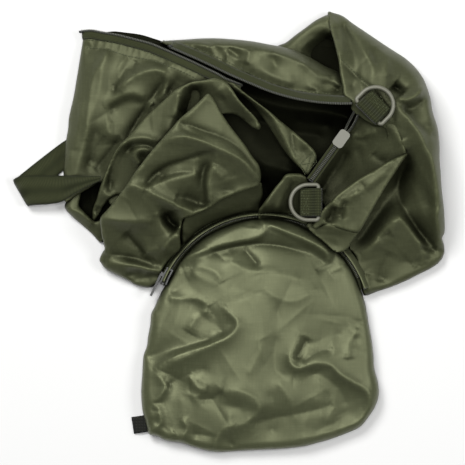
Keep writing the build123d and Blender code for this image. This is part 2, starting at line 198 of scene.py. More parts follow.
def woven_strap(name, dark, light, along="Object", ribs=(120.0, 120.0)):
    """Strap webbing or zip tape: ribs along and across it, and a speckled dull surface."""
    material, nodes, links, surface = shader(name, 0.62, 0.18)
    surface.inputs["Specular Tint"].default_value = OLIVE_GLOSS
    place = nodes.new("ShaderNodeTexCoord").outputs[along]
    height = weave_height(nodes, links, place, *ribs)
    tint = blend_colours(nodes, dark, light)
    links.new(height, tint.inputs["Factor"])
    links.new(tint.outputs["Result"], surface.inputs["Base Color"])
    bump = add_node(nodes, "ShaderNodeBump", Strength=0.7, Distance=0.0004)
    links.new(height, bump.inputs["Height"])
    links.new(bump.outputs["Normal"], surface.inputs["Normal"])
    surface.inputs["Sheen Weight"].default_value = 0.15
    return material


def hard(name, colour, rough, metal):
    """Metal or moulded plastic, with faint marks that change its gloss."""
    material, nodes, links, surface = shader(name, rough)
    surface.inputs["Metallic"].default_value = metal
    place = nodes.new("ShaderNodeTexCoord").outputs["Object"]
    marks = add_node(nodes, "ShaderNodeTexNoise", Scale=260.0, Detail=5.0, Roughness=0.65)
    links.new(place, marks.inputs["Vector"])
    gloss = add_node(nodes, "ShaderNodeMapRange", To_Min=rough - METAL_MARKS, To_Max=rough + METAL_MARKS)
    links.new(marks.outputs["Fac"], gloss.inputs["Value"])
    links.new(gloss.outputs["Result"], surface.inputs["Roughness"])
    tint = blend_colours(nodes, [0.8 * c for c in colour], [1.15 * c for c in colour])
    links.new(marks.outputs["Fac"], tint.inputs["Factor"])
    links.new(tint.outputs["Result"], surface.inputs["Base Color"])
    bump = add_node(nodes, "ShaderNodeBump", Strength=0.15, Distance=0.0001)
    links.new(marks.outputs["Fac"], bump.inputs["Height"])
    links.new(bump.outputs["Normal"], surface.inputs["Normal"])
    return material


OUTER = nylon("nylon", (0.040, 0.044, 0.022), (0.074, 0.081, 0.043), 0.48, 0.70)
# The lining is coloured near black: painted shade for the hollow inside the bag.
LINING_PAINTED_SHADE = nylon("nylon_lining_painted_shade", (0.003, 0.0034, 0.0018), (0.006, 0.0065, 0.0035), 0.55, 0.12)
POUCH = nylon("pouch_nylon", (0.054, 0.060, 0.031), (0.098, 0.107, 0.059), 0.40, 0.85)
WEBBING = woven_strap("webbing", (0.014, 0.017, 0.007), (0.050, 0.056, 0.025), "UV", (130.0, 210.0))
TAPE = woven_strap("zip_tape", (0.026, 0.030, 0.012), (0.052, 0.058, 0.026), "UV", (260.0, 400.0))
CHAIN_CORD = hard("zip_cord", (0.008, 0.009, 0.006), 0.6, 0.0)
THREAD = woven_strap("thread", (0.05, 0.06, 0.028), (0.10, 0.115, 0.06))
COIL = hard("zip_coil", (0.09, 0.094, 0.07), 0.34, 0.0)
RING_METAL = hard("ring_metal", (0.17, 0.17, 0.13), 0.5, 0.2)
SLIDER_METAL = hard("slider_metal", (0.17, 0.17, 0.14), 0.5, 0.3)
DARK_METAL = hard("dark_metal", (0.012, 0.013, 0.011), 0.36, 0.2)
LABEL = woven_strap("label_cloth", (0.010, 0.010, 0.011), (0.022, 0.022, 0.023))


# ---------------------------------------------------------------- mesh helpers
def add_mesh(name, vertices, faces, material, smooth=True):
    """A new object from points in mm."""
    mesh = bpy.data.meshes.new(name)
    mesh.from_pydata([tuple(c * MM for c in v) for v in vertices], [], faces)
    mesh.materials.append(material)
    mesh.validate()
    if smooth:
        mesh.shade_smooth()
    piece = bpy.data.objects.new(name, mesh)
    bpy.context.scene.collection.objects.link(piece)
    return piece


def on_body(piece, body, slot_name, *nodes):
    """The piece rides a body and stands for those CAD nodes, which it hides. slot_name is not used."""
    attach(piece, body)
    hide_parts(*nodes)
    return piece


def smooth_path(points, spacing, closed=False):
    """A Catmull-Rom curve through the points, sampled about every spacing."""
    points = np.array(points, float)
    count = len(points)
    out = []
    for i in range(count if closed else count - 1):
        if closed:
            a, b, c, d = (points[(i + k) % count] for k in (-1, 0, 1, 2))
        else:
            a, b, c, d = (points[min(max(i + k, 0), count - 1)] for k in (-1, 0, 1, 2))
        steps = max(1, int(round(np.linalg.norm((c - b)[:2]) / spacing)))
        for t in np.arange(steps) / steps:
            bend = (2 * a - 5 * b + 4 * c - d) * t**2 + (3 * b - a - 3 * c + d) * t**3
            out.append(0.5 * (2 * b + (c - a) * t + bend))
    if not closed:
        out.append(points[-1])
    return np.array(out)


def travelled(path):
    """The distance along a path to each of its points."""
    return np.concatenate(([0], np.cumsum(np.linalg.norm(np.diff(path, axis=0), axis=1))))


def signed_area(points):
    """Area of a closed outline, positive if it runs anticlockwise."""
    return sum(a[0] * b[1] - b[0] * a[1] for a, b in zip(points, points[1:] + points[:1])) / 2


def inside(x, y, outline):
    """True for each point that is inside a closed outline."""
    found = np.zeros(x.shape, bool)
    x0, y0 = outline[-1][:2]
    for x1, y1 in outline[:, :2]:
        if y0 != y1:
            crosses = (y0 > y) != (y1 > y)
            found ^= crosses & (x < (x1 - x0) * (y - y0) / (y1 - y0) + x0)
        x0, y0 = x1, y1
    return found


def nearest(x, y, samples):
    """For each point: the index of the nearest sample and the distance to it."""
    gap = (x[:, None] - samples[None, :, 0]) ** 2 + (y[:, None] - samples[None, :, 1]) ** 2
    index = gap.argmin(axis=1)
    return index, np.sqrt(gap[np.arange(len(x)), index])


# ---------------------------------------------------------------- fabric
class Fabric:
    """A piece of cloth seen from above.

    edge is its outline. A stretch of it is "fold" where the cloth rolls under, "floor" where it comes down to
    the floor, "under" where another piece lies over it, and "seam" where it is cut and sewn.
    levels are lines on the cloth, each point with its height: the cloth is stretched between them.
    pleats are crests and grooves. crumple is the share of small random creases. pucker lists the sewn lines
    that have short gathers across them."""

    ROLLS = {"fold": 1.0, "floor": 0.0, "under": 0.0, "seam": 0.35}
    COARSE_STEPS = (12.0, 6.0, 3.0)      # grids that are solved before the final one, in mm
    STRETCHES = 90                       # rounds of stretching on each grid
    ROUNDINGS = 2                        # rounds that soften the lines at the end
    CREASE_AREA = 200                    # cloth for each small crease, in square mm
    CREASE_HEIGHTS = (0.2, 0.9)
    CREASE_LENGTHS = (18, 55)
    CREASE_WIDTHS = (1.5, 5)

    def __init__(self, edge, levels, pleats, seed, crumple=1.0, pucker=()):
        kinds = [kind for kind, *points in edge for _ in points]
        points = [point for _, *points in edge for point in points]
        if signed_area(points) < 0:
            kinds, points = kinds[::-1], points[::-1]
        marks = [(*p, self.ROLLS[k], float(k == "floor")) for p, k in zip(points, kinds)]
        self.edge = smooth_path(marks, GRID, closed=True)
        self.lines = [smooth_path(line, 2.0) for line in levels]
        self.random = np.random.default_rng(seed)
        self.low = self.edge[:, :2].min(axis=0) - 12
        self.high = self.edge[:, :2].max(axis=0) + 12
        self.solve()
        self.crumple(crumple)
        for pleat in pleats:
            self.pleat(*pleat)
        self.pucker(pucker)

    def cells(self, step):
        """The places of a grid over the cloth, with that step between them."""
        shape = np.ceil((self.high - self.low) / step).astype(int) + 1
        return np.meshgrid(*(self.low[k] + step * np.arange(shape[k]) for k in (0, 1)), indexing="ij")

    def solve(self):
        """Stretches the cloth between the lines: coarse grid first, then finer ones."""
        heights, last = None, None
        for step in (*self.COARSE_STEPS, GRID):
            x, y = self.cells(step)
            if heights is None:
                heights = np.full(x.shape, np.mean([line[:, 2].mean() for line in self.lines]))
            else:
                heights = self.sample(heights, last, x, y)
            total, count = np.zeros(x.shape), np.zeros(x.shape)
            for line in self.lines:
                i, j = (np.rint((line[:, k] - self.low[k]) / step).astype(int) for k in (0, 1))
                np.add.at(total, (i, j), line[:, 2])
                np.add.at(count, (i, j), 1)
            held = count > 0
            target = total / np.maximum(count, 1)
            for _ in range(self.STRETCHES):
                heights = np.where(held, target, self.mean(heights))
            last = step
        for _ in range(self.ROUNDINGS):
            heights = self.mean(heights)
        self.heights = heights
        self.x, self.y = x, y

    @staticmethod
    def mean(heights):
        """Each cell's mean with its four neighbours, the border repeated outwards."""
        wide = np.pad(heights, 1, mode="edge")
        return (wide[2:, 1:-1] + wide[:-2, 1:-1] + wide[1:-1, 2:] + wide[1:-1, :-2]) / 4

    def sample(self, heights, step, x, y):
        """Heights between the cells of a grid."""
        u = np.clip((x - self.low[0]) / step, 0, heights.shape[0] - 1.001)
        v = np.clip((y - self.low[1]) / step, 0, heights.shape[1] - 1.001)
        i, j = u.astype(int), v.astype(int)
        s, t = u - i, v - j
        near = heights[i, j] * (1 - t) + heights[i, j + 1] * t
        far = heights[i + 1, j] * (1 - t) + heights[i + 1, j + 1] * t
        return near * (1 - s) + far * s

    def crease(self, x, y, angle, length, width, height):
        """One small straight ridge that fades out at both ends."""
        along = (self.x - x) * math.cos(angle) + (self.y - y) * math.sin(angle)
        across = (self.y - y) * math.cos(angle) - (self.x - x) * math.sin(angle)
        fade = np.clip(1 - (2 * along / length) ** 2, 0, 1) ** 1.5
        self.heights += height * fade * np.exp(-np.abs(across) / width)

    def pleat(self, height, left, right, *path):
        """A crest along a path, or a groove if its height is negative, with a width on each side of it."""
        path = smooth_path(path, 2.0)
        index, gap = nearest(self.x.ravel(), self.y.ravel(), path)
        ahead = path[np.minimum(index + 1, len(path) - 1)] - path[np.maximum(index - 1, 0)]
        offset = np.column_stack((self.x.ravel(), self.y.ravel())) - path[index]
        on_left = ahead[:, 0] * offset[:, 1] - ahead[:, 1] * offset[:, 0] > 0
        share = index / (len(path) - 1)
        fade = np.clip(np.minimum(share, 1 - share) * 5, 0, 1) ** 0.6
        fade = np.maximum(fade, 0.12)
        crest = 1.0
        reach = (np.sqrt(gap**2 + crest**2) - crest) / np.where(on_left, left, right)
        self.heights += (height * fade * np.exp(-reach)).reshape(self.x.shape)

    def crumple(self, amount):
        """Small creases over the whole cloth, mostly along its folds."""
        area = (self.high - self.low).prod()
        slope_x, slope_y = np.gradient(self.heights, GRID)
        for _ in range(int(area / self.CREASE_AREA * amount)):
            i = self.random.integers(self.heights.shape[0])
            j = self.random.integers(self.heights.shape[1])
            angle = math.atan2(slope_y[i, j], slope_x[i, j]) + math.pi / 2 + self.random.normal(0, 0.5)
            height = self.random.uniform(*self.CREASE_HEIGHTS) * self.random.choice((-1, 1))
            length = self.random.uniform(*self.CREASE_LENGTHS)
            width = self.random.uniform(*self.CREASE_WIDTHS)
            self.crease(self.x[i, j], self.y[i, j], angle, length, width, height)

    def pucker(self, rows):
        """Short gathers across each sewn line."""
        for row in rows:
            path = smooth_path(row, 6.5)
            for a, b in zip(path, path[1:]):
                angle = math.atan2(b[1] - a[1], b[0] - a[0]) + math.pi / 2 + self.random.normal(0, 0.25)
                self.crease(*a[:2], angle, self.random.uniform(12, 26), 1.6, self.random.uniform(0.4, 1.1))

    def height(self, x, y):
        """Height of the cloth at each point, rounded down towards its edges."""
        x, y = np.asarray(x, float), np.asarray(y, float)
        top = self.sample(self.heights, GRID, x, y)
        for column in (ROLL_SHARE, ON_FLOOR):
            rim = self.edge[self.edge[:, column] > 0.2]
            if not len(rim):
                continue
            index, gap = nearest(x.ravel(), y.ravel(), rim)
            index, gap = index.reshape(x.shape), gap.reshape(x.shape)
            weight = rim[index, column]
            if column == ROLL_SHARE:
                reach, drop = ROLL * weight, ROLL * weight
            else:
                reach = np.clip(0.5 * top, 3, SHOULDER)
                drop = 0.5 * weight * np.maximum(top - 1, 0)
            inward = np.clip(1 - gap / np.maximum(reach, 0.01), 0, 1)
            top = top - drop * (1 - np.sqrt(1 - inward**2))
        return top

    def skirt(self, top):
        """Rings of points below the edge: rolled under at a fold, down to the floor at the outside."""
        rim = self.edge
        tangent = np.roll(rim[:, :2], -1, axis=0) - np.roll(rim[:, :2], 1, axis=0)
        tangent /= np.maximum(np.linalg.norm(tangent, axis=1, keepdims=True), 1e-6)
        inward = np.stack((-tangent[:, 1], tangent[:, 0]), axis=1)
        middle = rim[:, :2] + 0.6 * inward
        if inside(*middle.T, rim).mean() < 0.5:
            inward = -inward
        roll, floor = ROLL * rim[:, ROLL_SHARE], rim[:, ON_FLOOR, None]
        rings = []
        # Each ring: its share of the roll's quarter turn, and how far it sinks and tucks in at the floor.
        for turn, sink, tuck in ((0.35, 0.62, 0.2), (0.75, 0.9, 1.2), (1.0, 1.0, 4.5)):
            angle = turn * math.pi / 2
            inwards, down = roll * (1 - math.cos(angle)) + 0.2, roll * math.sin(angle) + 0.5 * turn
            rolled = np.stack((inwards, down), axis=1)
            lowered = np.stack((np.full(len(rim), tuck), (top - CLOTH_FOOT) * sink), axis=1)
            shift = rolled * (1 - floor) + lowered * floor
            ring_height = np.maximum(top - shift[:, 1], CLOTH_FOOT)
            rings.append(np.column_stack((rim[:, :2] + inward * shift[:, :1], ring_height)))
        return rings

    def build(self, name, material):
        """The mesh: a net of points inside the outline, and the rings below its edge."""
        rim = self.edge
        keep = inside(self.x, self.y, rim)
        x, y = self.x[keep], self.y[keep]
        jitter = self.random.uniform(-0.3, 0.3, (2, len(x))) * GRID
        x, y = x + jitter[0], y + jitter[1]
        _, gap = nearest(x, y, rim)
        x, y = x[gap > 0.6 * GRID], y[gap > 0.6 * GRID]
        count = len(rim)
        flat = [Vector(p) for p in rim[:, :2]] + [Vector(p) for p in zip(x, y)]
        flat, _, faces, *_ = delaunay_2d_cdt(flat, [], [list(range(count))], 1, 1e-4)
        flat = np.array(flat)
        vertices = np.column_stack((flat, self.height(*flat.T)))
        faces = [tuple(f) for f in faces]
        last = list(range(count))
        for ring in self.skirt(vertices[:count, 2]):
            start = len(vertices)
            vertices = np.vstack((vertices, ring))
            ring_index = list(range(start, start + count))
            faces += [(last[k], ring_index[k], ring_index[k - 1], last[k - 1]) for k in range(count)]
            last = ring_index
        piece = add_mesh(name, vertices, faces, material)
        tidy_normals(piece)
        return piece


def tidy_normals(piece):
    """Turns every face of the piece the same way round, outwards."""
    mesh = bmesh.new()
    mesh.from_mesh(piece.data)
    bmesh.ops.recalc_face_normals(mesh, faces=mesh.faces)
    mesh.to_mesh(piece.data)
    mesh.free()


# ---------------------------------------------------------------- outlines, fold lines and pleats, in mm
# The panel behind the main zip.
BACK_PANEL = dict(
    edge=[
        ("floor", (-61, 169), (-57, 170), (-39, 171), (-18, 172), (1, 171), (20, 169), (36, 166), (47, 164),
         (60, 160), (73, 154), (85, 147), (96, 142)),
        ("under", (99, 134), (100, 124), (106, 116)),
        ("fold", (111, 114), (96, 114), (80, 115), (66, 117), (54, 118), (36, 125), (18, 132), (1, 139),
         (-10, 144), (-21, 149), (-34, 155), (-45, 161), (-56, 166)),
    ],
    levels=[
        [(-103, 177, 12), (-74, 174, 18), (-56, 165, 25), (-34, 155, 31), (-10, 144, 38), (18, 132, 45),
         (54, 118, 51), (80, 115, 54), (111, 114, 56)],
        [(-90, 177, 14), (-57, 169, 22), (-18, 165, 36), (20, 159, 44), (60, 149, 47), (84, 136, 48),
         (96, 129, 50)],
        [(-21, 168, 30), (-4, 159, 38), (14, 150, 44), (34, 139, 48), (54, 130, 50)],
        [(29, 159, 45), (26, 150, 47), (22, 143, 47)],
        [(54, 152, 47), (52, 141, 48), (55, 134, 50)],
        [(70, 127, 50), (89, 120, 52), (100, 120, 50)],
        [(-39, 166, 26), (-21, 158, 31), (1, 147, 38), (26, 134, 43), (62, 123, 46), (89, 124, 45)],
        [(-1, 161, 35), (8, 154, 37)],
        [(38, 155, 42), (41, 145, 43)],
        [(85, 131, 43), (96, 124, 44)],
    ],
    pleats=[
        (2.0, 3, 3, (18, 161), (17, 154), (15, 147)),
        (1.8, 2.5, 2.5, (0, 161), (-2, 152), (2, 145)),
        (-2.2, 3, 3, (89, 138), (92, 129), (97, 123)),
        (2.4, 4, 5, (62, 150), (76, 138), (94, 123)),
        (1.5, 3, 3, (-17, 164), (-13, 156), (-6, 150)),
        (2.2, 6, 6, (29, 161), (49, 154), (71, 145)),
    ],
)

# The left leaf of the corner that stands up at the back.
PEAK_LEAF = dict(
    edge=[
        ("floor", (43, 164), (51, 169), (60, 176), (67, 181), (75, 187), (82, 191), (89, 193)),
        ("fold", (91, 185), (92, 176), (94, 162), (98, 152)),
        ("under", (99, 139), (89, 136), (73, 143), (59, 152)),
    ],
    levels=[
        [(47, 165, 16), (60, 174, 18), (75, 184, 20), (88, 191, 20)],
        [(89, 192, 20), (90, 183, 22), (90, 176, 24)],
        [(62, 161, 16), (59, 154, 20)],
        [(73, 161, 8), (82, 166, 6), (90, 173, 5)],
        [(78, 150, 5), (89, 152, 4), (94, 159, 5)],
    ],
    pleats=[
        (2.0, 3, 4, (62, 162), (75, 173), (87, 183)),
        (-3.0, 3, 3, (73, 155), (82, 162), (90, 171)),
    ],
)

# The right side, from that corner round to the front.
RIGHT_SHELL = dict(
    edge=[
        ("floor", (88, 196), (93, 195), (101, 192), (110, 185), (120, 178), (133, 169), (145, 161),
         (156, 154), (164, 147), (170, 139), (174, 131), (178, 118), (180, 106), (183, 97), (185, 88),
         (186, 76), (186, 64), (187, 51), (188, 37), (190, 22), (191, 9), (191, 0), (189, -5), (191, -12),
         (191, -19), (187, -26), (179, -32), (169, -37), (157, -43), (145, -48), (133, -52), (121, -56)),
        ("fold", (118, -51), (116, -42), (113, -29), (112, -22)),
        ("under", (106, -12), (108, 2), (115, 24), (126, 46), (137, 73), (137, 90), (124, 95), (108, 106)),
        ("fold", (106, 114), (100, 119), (99, 127), (97, 138), (96, 149), (94, 159), (92, 169), (89, 180),
         (88, 189)),
    ],
    levels=[
        [(88, 195, 14), (90, 178, 30), (93, 161, 42), (96, 149, 48), (99, 134, 53), (100, 119, 55),
         (111, 113, 57)],
        [(93, 194, 14), (108, 175, 34), (121, 155, 48), (126, 139, 55), (121, 124, 56), (115, 110, 56)],
        [(136, 162, 38), (138, 150, 49), (136, 134, 55), (136, 117, 56), (129, 97, 54)],
        [(148, 117, 58), (156, 115, 56), (163, 119, 54), (168, 125, 50), (172, 131, 40)],
        [(172, 131, 40), (175, 120, 42), (174, 106, 46)],
        [(146, 111, 57), (154, 104, 57), (161, 94, 56), (168, 83, 53), (174, 68, 49), (180, 53, 46),
         (183, 36, 43), (183, 18, 38), (186, 2, 29), (187, -8, 20), (189, -17, 9)],
        [(174, 106, 46), (177, 92, 45), (180, 83, 42)],
        [(143, 99, 54), (151, 84, 50), (154, 69, 42)],
        [(117, -26, 13), (126, -14, 19), (135, -3, 24), (142, 6, 28), (149, 13, 31), (156, 7, 29),
         (163, -2, 25), (171, -13, 20), (177, -24, 11)],
        [(138, -12, 19), (143, -26, 15), (136, -42, 9)],
        [(149, 13, 31), (147, 0, 26), (149, -15, 19)],
        [(162, 152, 30), (165, 138, 40), (163, 119, 54)],
        [(154, -26, 13), (168, -26, 11)],
        [(143, 124, 49), (148, 127, 46), (153, 125, 47)],
        [(154, 106, 50), (163, 110, 46), (169, 115, 42)],
        [(155, 67, 32), (155, 59, 24), (150, 46, 17), (143, 32, 12), (135, 20, 9), (126, 6, 7),
         (116, -7, 6)],
        [(162, 73, 45), (167, 57, 38), (172, 41, 33), (177, 25, 28)],
        [(156, 18, 24), (164, 7, 17), (172, -3, 13), (180, -11, 10)],
        [(102, 183, 20), (108, 162, 38), (111, 143, 47), (108, 127, 50)],
        [(128, 152, 45), (126, 161, 42)],
    ],
    pleats=[
        (-1.8, 2, 2, (94, 183), (96, 168)),
        (2.0, 3, 3, (92, 191), (98, 169), (99, 154)),
        (-1.8, 1.4, 1.4, (96, 150), (103, 144), (111, 137), (119, 130), (124, 126), (132, 116), (139, 106),
         (145, 96)),
        (1.8, 10, 9, (135, 166), (136, 152), (138, 135)),
        (-7.0, 3.5, 3.5, (143, 129), (148, 125), (152, 121)),
        (3.5, 5, 2.5, (147, 117), (154, 116), (159, 117), (165, 120), (170, 128), (172, 132)),
        (3.0, 3, 4, (172, 132), (175, 119), (174, 110), (178, 95)),
        (-3.5, 6, 3, (150, 114), (158, 106), (165, 95), (176, 87)),
        (4.0, 4, 8, (147, 110), (158, 98), (166, 87), (172, 73), (177, 66), (180, 51), (185, 31),
         (187, 24)),
        (3.5, 3, 4, (187, 24), (182, 15), (185, 0), (189, -14)),
        (-6.0, 9, 5, (153, 64), (151, 46), (152, 28), (161, 11), (170, -3), (179, -13)),
        (3.5, 5, 4, (116, -19), (128, -9), (135, 1), (143, 11), (149, 14), (158, 6), (169, -9), (177, -22)),
        (2.2, 3, 3, (149, 12), (145, 4), (143, -3)),
        (-2.4, 2.5, 2.5, (132, -6), (143, 1)),
        (-4.0, 2.5, 2.5, (169, -12), (177, -15), (184, -14)),
        (3.0, 4, 2.5, (150, 81), (155, 71)),
        (2.0, 8, 8, (160, -27), (169, -20), (172, -29)),
        (2.5, 3, 5, (122, -37), (123, -47), (126, -53)),
        (2.0, 6, 6, (162, 59), (172, 46), (180, 33), (179, 23)),
        (-2.5, 6, 6, (143, -17), (136, -31), (133, -44)),
    ],
)

# The panel in front of the main zip, at the left.
TOP_PANEL = dict(
    edge=[
        ("fold", (-130, 176), (-122, 177), (-112, 176), (-99, 174), (-84, 171), (-70, 166), (-58, 161),
         (-45, 155), (-32, 149), (-20, 143), (-10, 136), (1, 131)),
        ("under", (-6, 118), (-30, 103), (-52, 81), (-70, 57), (-87, 37), (-103, 24)),
        ("fold", (-110, 36), (-114, 44), (-124, 39), (-135, 33), (-145, 27)),
        ("floor", (-146, 37), (-147, 50), (-147, 59), (-145, 80), (-143, 92), (-142, 103), (-138, 121),
         (-135, 139), (-132, 158), (-130, 171)),
    ],
    levels=[
        [(-130, 176, 9), (-112, 175, 15), (-84, 170, 22), (-58, 161, 29), (-32, 149, 37), (-10, 137, 45),
         (1, 131, 47)],
        [(-129, 169, 11), (-135, 136, 14), (-140, 103, 15), (-145, 73, 14), (-146, 50, 14)],
        [(-108, 159, 23), (-112, 141, 25), (-115, 124, 25), (-121, 106, 24), (-126, 87, 22), (-131, 67, 20),
         (-136, 51, 17)],
        [(-101, 124, 25), (-94, 131, 29), (-84, 137, 32), (-72, 142, 35), (-61, 143, 37), (-55, 139, 37),
         (-55, 131, 35), (-62, 120, 33), (-71, 110, 31)],
        [(-52, 147, 36), (-41, 141, 38), (-29, 132, 41)],
        [(-105, 117, 25), (-94, 122, 29), (-82, 124, 31), (-76, 119, 31)],
        [(-106, 88, 24), (-99, 81, 22)],
        [(-129, 166, 9), (-105, 161, 18), (-78, 155, 24), (-56, 148, 30)],
        [(-89, 150, 24), (-96, 138, 22), (-101, 125, 20)],
        [(-56, 131, 31), (-64, 117, 26), (-73, 106, 24), (-82, 94, 22), (-91, 81, 20)],
        [(-103, 110, 21), (-91, 114, 25), (-78, 114, 26)],
        [(-117, 90, 17), (-122, 73, 14), (-126, 55, 12)],
        [(-110, 64, 15), (-115, 53, 12)],
        [(-45, 134, 32), (-52, 124, 28)],
    ],
    pleats=[
        (2.6, 5, 8, (-109, 159), (-114, 148), (-120, 137), (-123, 121), (-125, 101), (-125, 81)),
        (1.9, 3, 4, (-90, 155), (-96, 145), (-98, 132), (-100, 125)),
        (2.6, 6, 5, (-98, 125), (-87, 135), (-76, 141), (-62, 143), (-55, 139)),
        (-3.8, 2, 4, (-55, 136), (-62, 127), (-71, 114), (-82, 97), (-90, 83)),
        (2, 4, 4, (-110, 110), (-99, 118), (-87, 122), (-74, 119)),
        (-1.7, 3, 5, (-106, 107), (-96, 114), (-84, 117), (-76, 114)),
        (-2.6, 3, 3, (-110, 86), (-118, 73), (-125, 59)),
        (-3, 2.5, 4, (-96, 84), (-107, 69), (-119, 55)),
        (1.7, 4, 4, (-103, 99), (-109, 91), (-115, 80), (-121, 64)),
        (1.5, 4, 3, (-140, 73), (-143, 59), (-143, 46)),
        (-1.9, 3, 4, (-82, 152), (-86, 141)),
        (1.5, 4, 5, (-129, 117), (-133, 95), (-136, 73)),
    ],
)

# The left end under the handle, an L round a dark hollow.
LEFT_END = dict(
    edge=[
        ("floor", (-114, -9), (-122, -1), (-131, 7), (-138, 13), (-144, 19), (-146, 23), (-144, 29)),
        ("fold", (-140, 34), (-135, 37), (-131, 38), (-132, 31), (-133, 24), (-129, 19), (-124, 14),
         (-119, 10)),
        ("under", (-113, 11), (-106, 6), (-108, -3)),
    ],
    levels=[
        [(-145, 25, 11), (-143, 20, 12), (-136, 19, 12), (-129, 15, 11), (-122, 10, 10), (-114, 4, 9)],
        [(-138, 32, 12), (-140, 26, 12)],
        [(-115, -7, 6), (-108, 0, 8)],
        [(-135, 9, 6), (-124, 2, 5)],
    ],
    pleats=[
        (2.5, 3, 2, (-144, 19), (-136, 19), (-128, 14), (-121, 7)),
    ],
)

# The outermost of the two folds that lean on the front panel.
OUTER_FOLD = dict(
    edge=[
        ("fold", (-22, 133), (-31, 132), (-39, 129), (-47, 125), (-55, 118), (-64, 110), (-73, 102),
         (-81, 93), (-89, 84), (-97, 76), (-103, 66), (-108, 55), (-113, 44), (-117, 31), (-121, 21),
         (-122, 11), (-121, 9)),
        ("fold", (-116, 15), (-110, 25), (-102, 32)),
        ("under", (-89, 36), (-70, 55), (-47, 80), (-21, 101), (-6, 104)),
        ("fold", (3, 104), (10, 101), (16, 96), (21, 92), (26, 90), (28, 93), (26, 97), (22, 102),
         (15, 109), (8, 117), (3, 125), (-3, 132), (-12, 135)),
    ],
    levels=[
        [(-3, 132, 49), (-12, 135, 53), (-22, 133, 53), (-31, 132, 52), (-47, 125, 47), (-64, 110, 42),
         (-81, 93, 37), (-89, 84, 36)],
        [(-41, 124, 48), (-44, 113, 47), (-48, 101, 46), (-54, 90, 45)],
        [(-89, 83, 37), (-82, 84, 38), (-73, 82, 39), (-64, 79, 40)],
        [(-89, 83, 37), (-97, 74, 34), (-103, 64, 29), (-108, 51, 24), (-113, 39, 19), (-117, 25, 14),
         (-121, 11, 8)],
        [(-108, 37, 20), (-102, 32, 19)],
        [(-84, 71, 35), (-77, 73, 37), (-68, 71, 37)],
        [(-84, 71, 35), (-82, 66, 33), (-78, 61, 32)],
        [(-22, 132, 53), (-13, 129, 51), (-6, 125, 50), (-4, 120, 49)],
        [(-3, 132, 50), (3, 125, 52), (8, 117, 53), (15, 109, 51), (22, 102, 48), (26, 97, 46)],
        [(20, 94, 44), (24, 95, 45)],
        [(-33, 125, 38), (-29, 118, 36), (-33, 111, 36), (-38, 106, 40)],
        [(-24, 124, 42), (-18, 120, 44)],
        [(-87, 76, 30), (-93, 67, 26), (-99, 55, 22), (-104, 43, 18)],
        [(-77, 67, 30), (-72, 64, 29)],
        [(-36, 117, 38), (-47, 94, 42)],
        [(-6, 118, 43), (-2, 111, 42), (6, 103, 38), (16, 96, 36)],
    ],
    pleats=[
        (-9.0, 3.0, 3.5, (-29, 128), (-30, 118), (-35, 108), (-40, 102)),
        (2.5, 4, 4, (-44, 122), (-45, 112), (-46, 100)),
        (4.0, 3, 3, (-95, 76), (-86, 81), (-76, 83), (-66, 81), (-62, 78)),
        (-3.5, 3, 3, (-91, 71), (-84, 76), (-73, 77), (-66, 74)),
        (2.5, 2.5, 2.5, (-84, 69), (-80, 72), (-73, 73), (-68, 71)),
        (2.5, 2.0, 2.0, (-84, 69), (-82, 65), (-78, 60)),
        (3.0, 4, 6, (-91, 81), (-101, 70), (-107, 58), (-111, 44), (-116, 29)),
        (-4.0, 2.5, 3, (-95, 74), (-102, 62), (-105, 48), (-106, 36)),
        (2.5, 2.5, 3, (-112, 35), (-106, 32), (-101, 31)),
        (-3.0, 2.5, 2.5, (-114, 23), (-117, 16)),
        (4.0, 2.2, 6, (-3, 132), (3, 124), (10, 115), (18, 108), (25, 102), (26, 97)),
        (2.0, 2.5, 2.5, (27, 92), (23, 95)),
        (1.5, 3, 3, (-17, 134), (-11, 127), (-8, 122)),
    ],
)

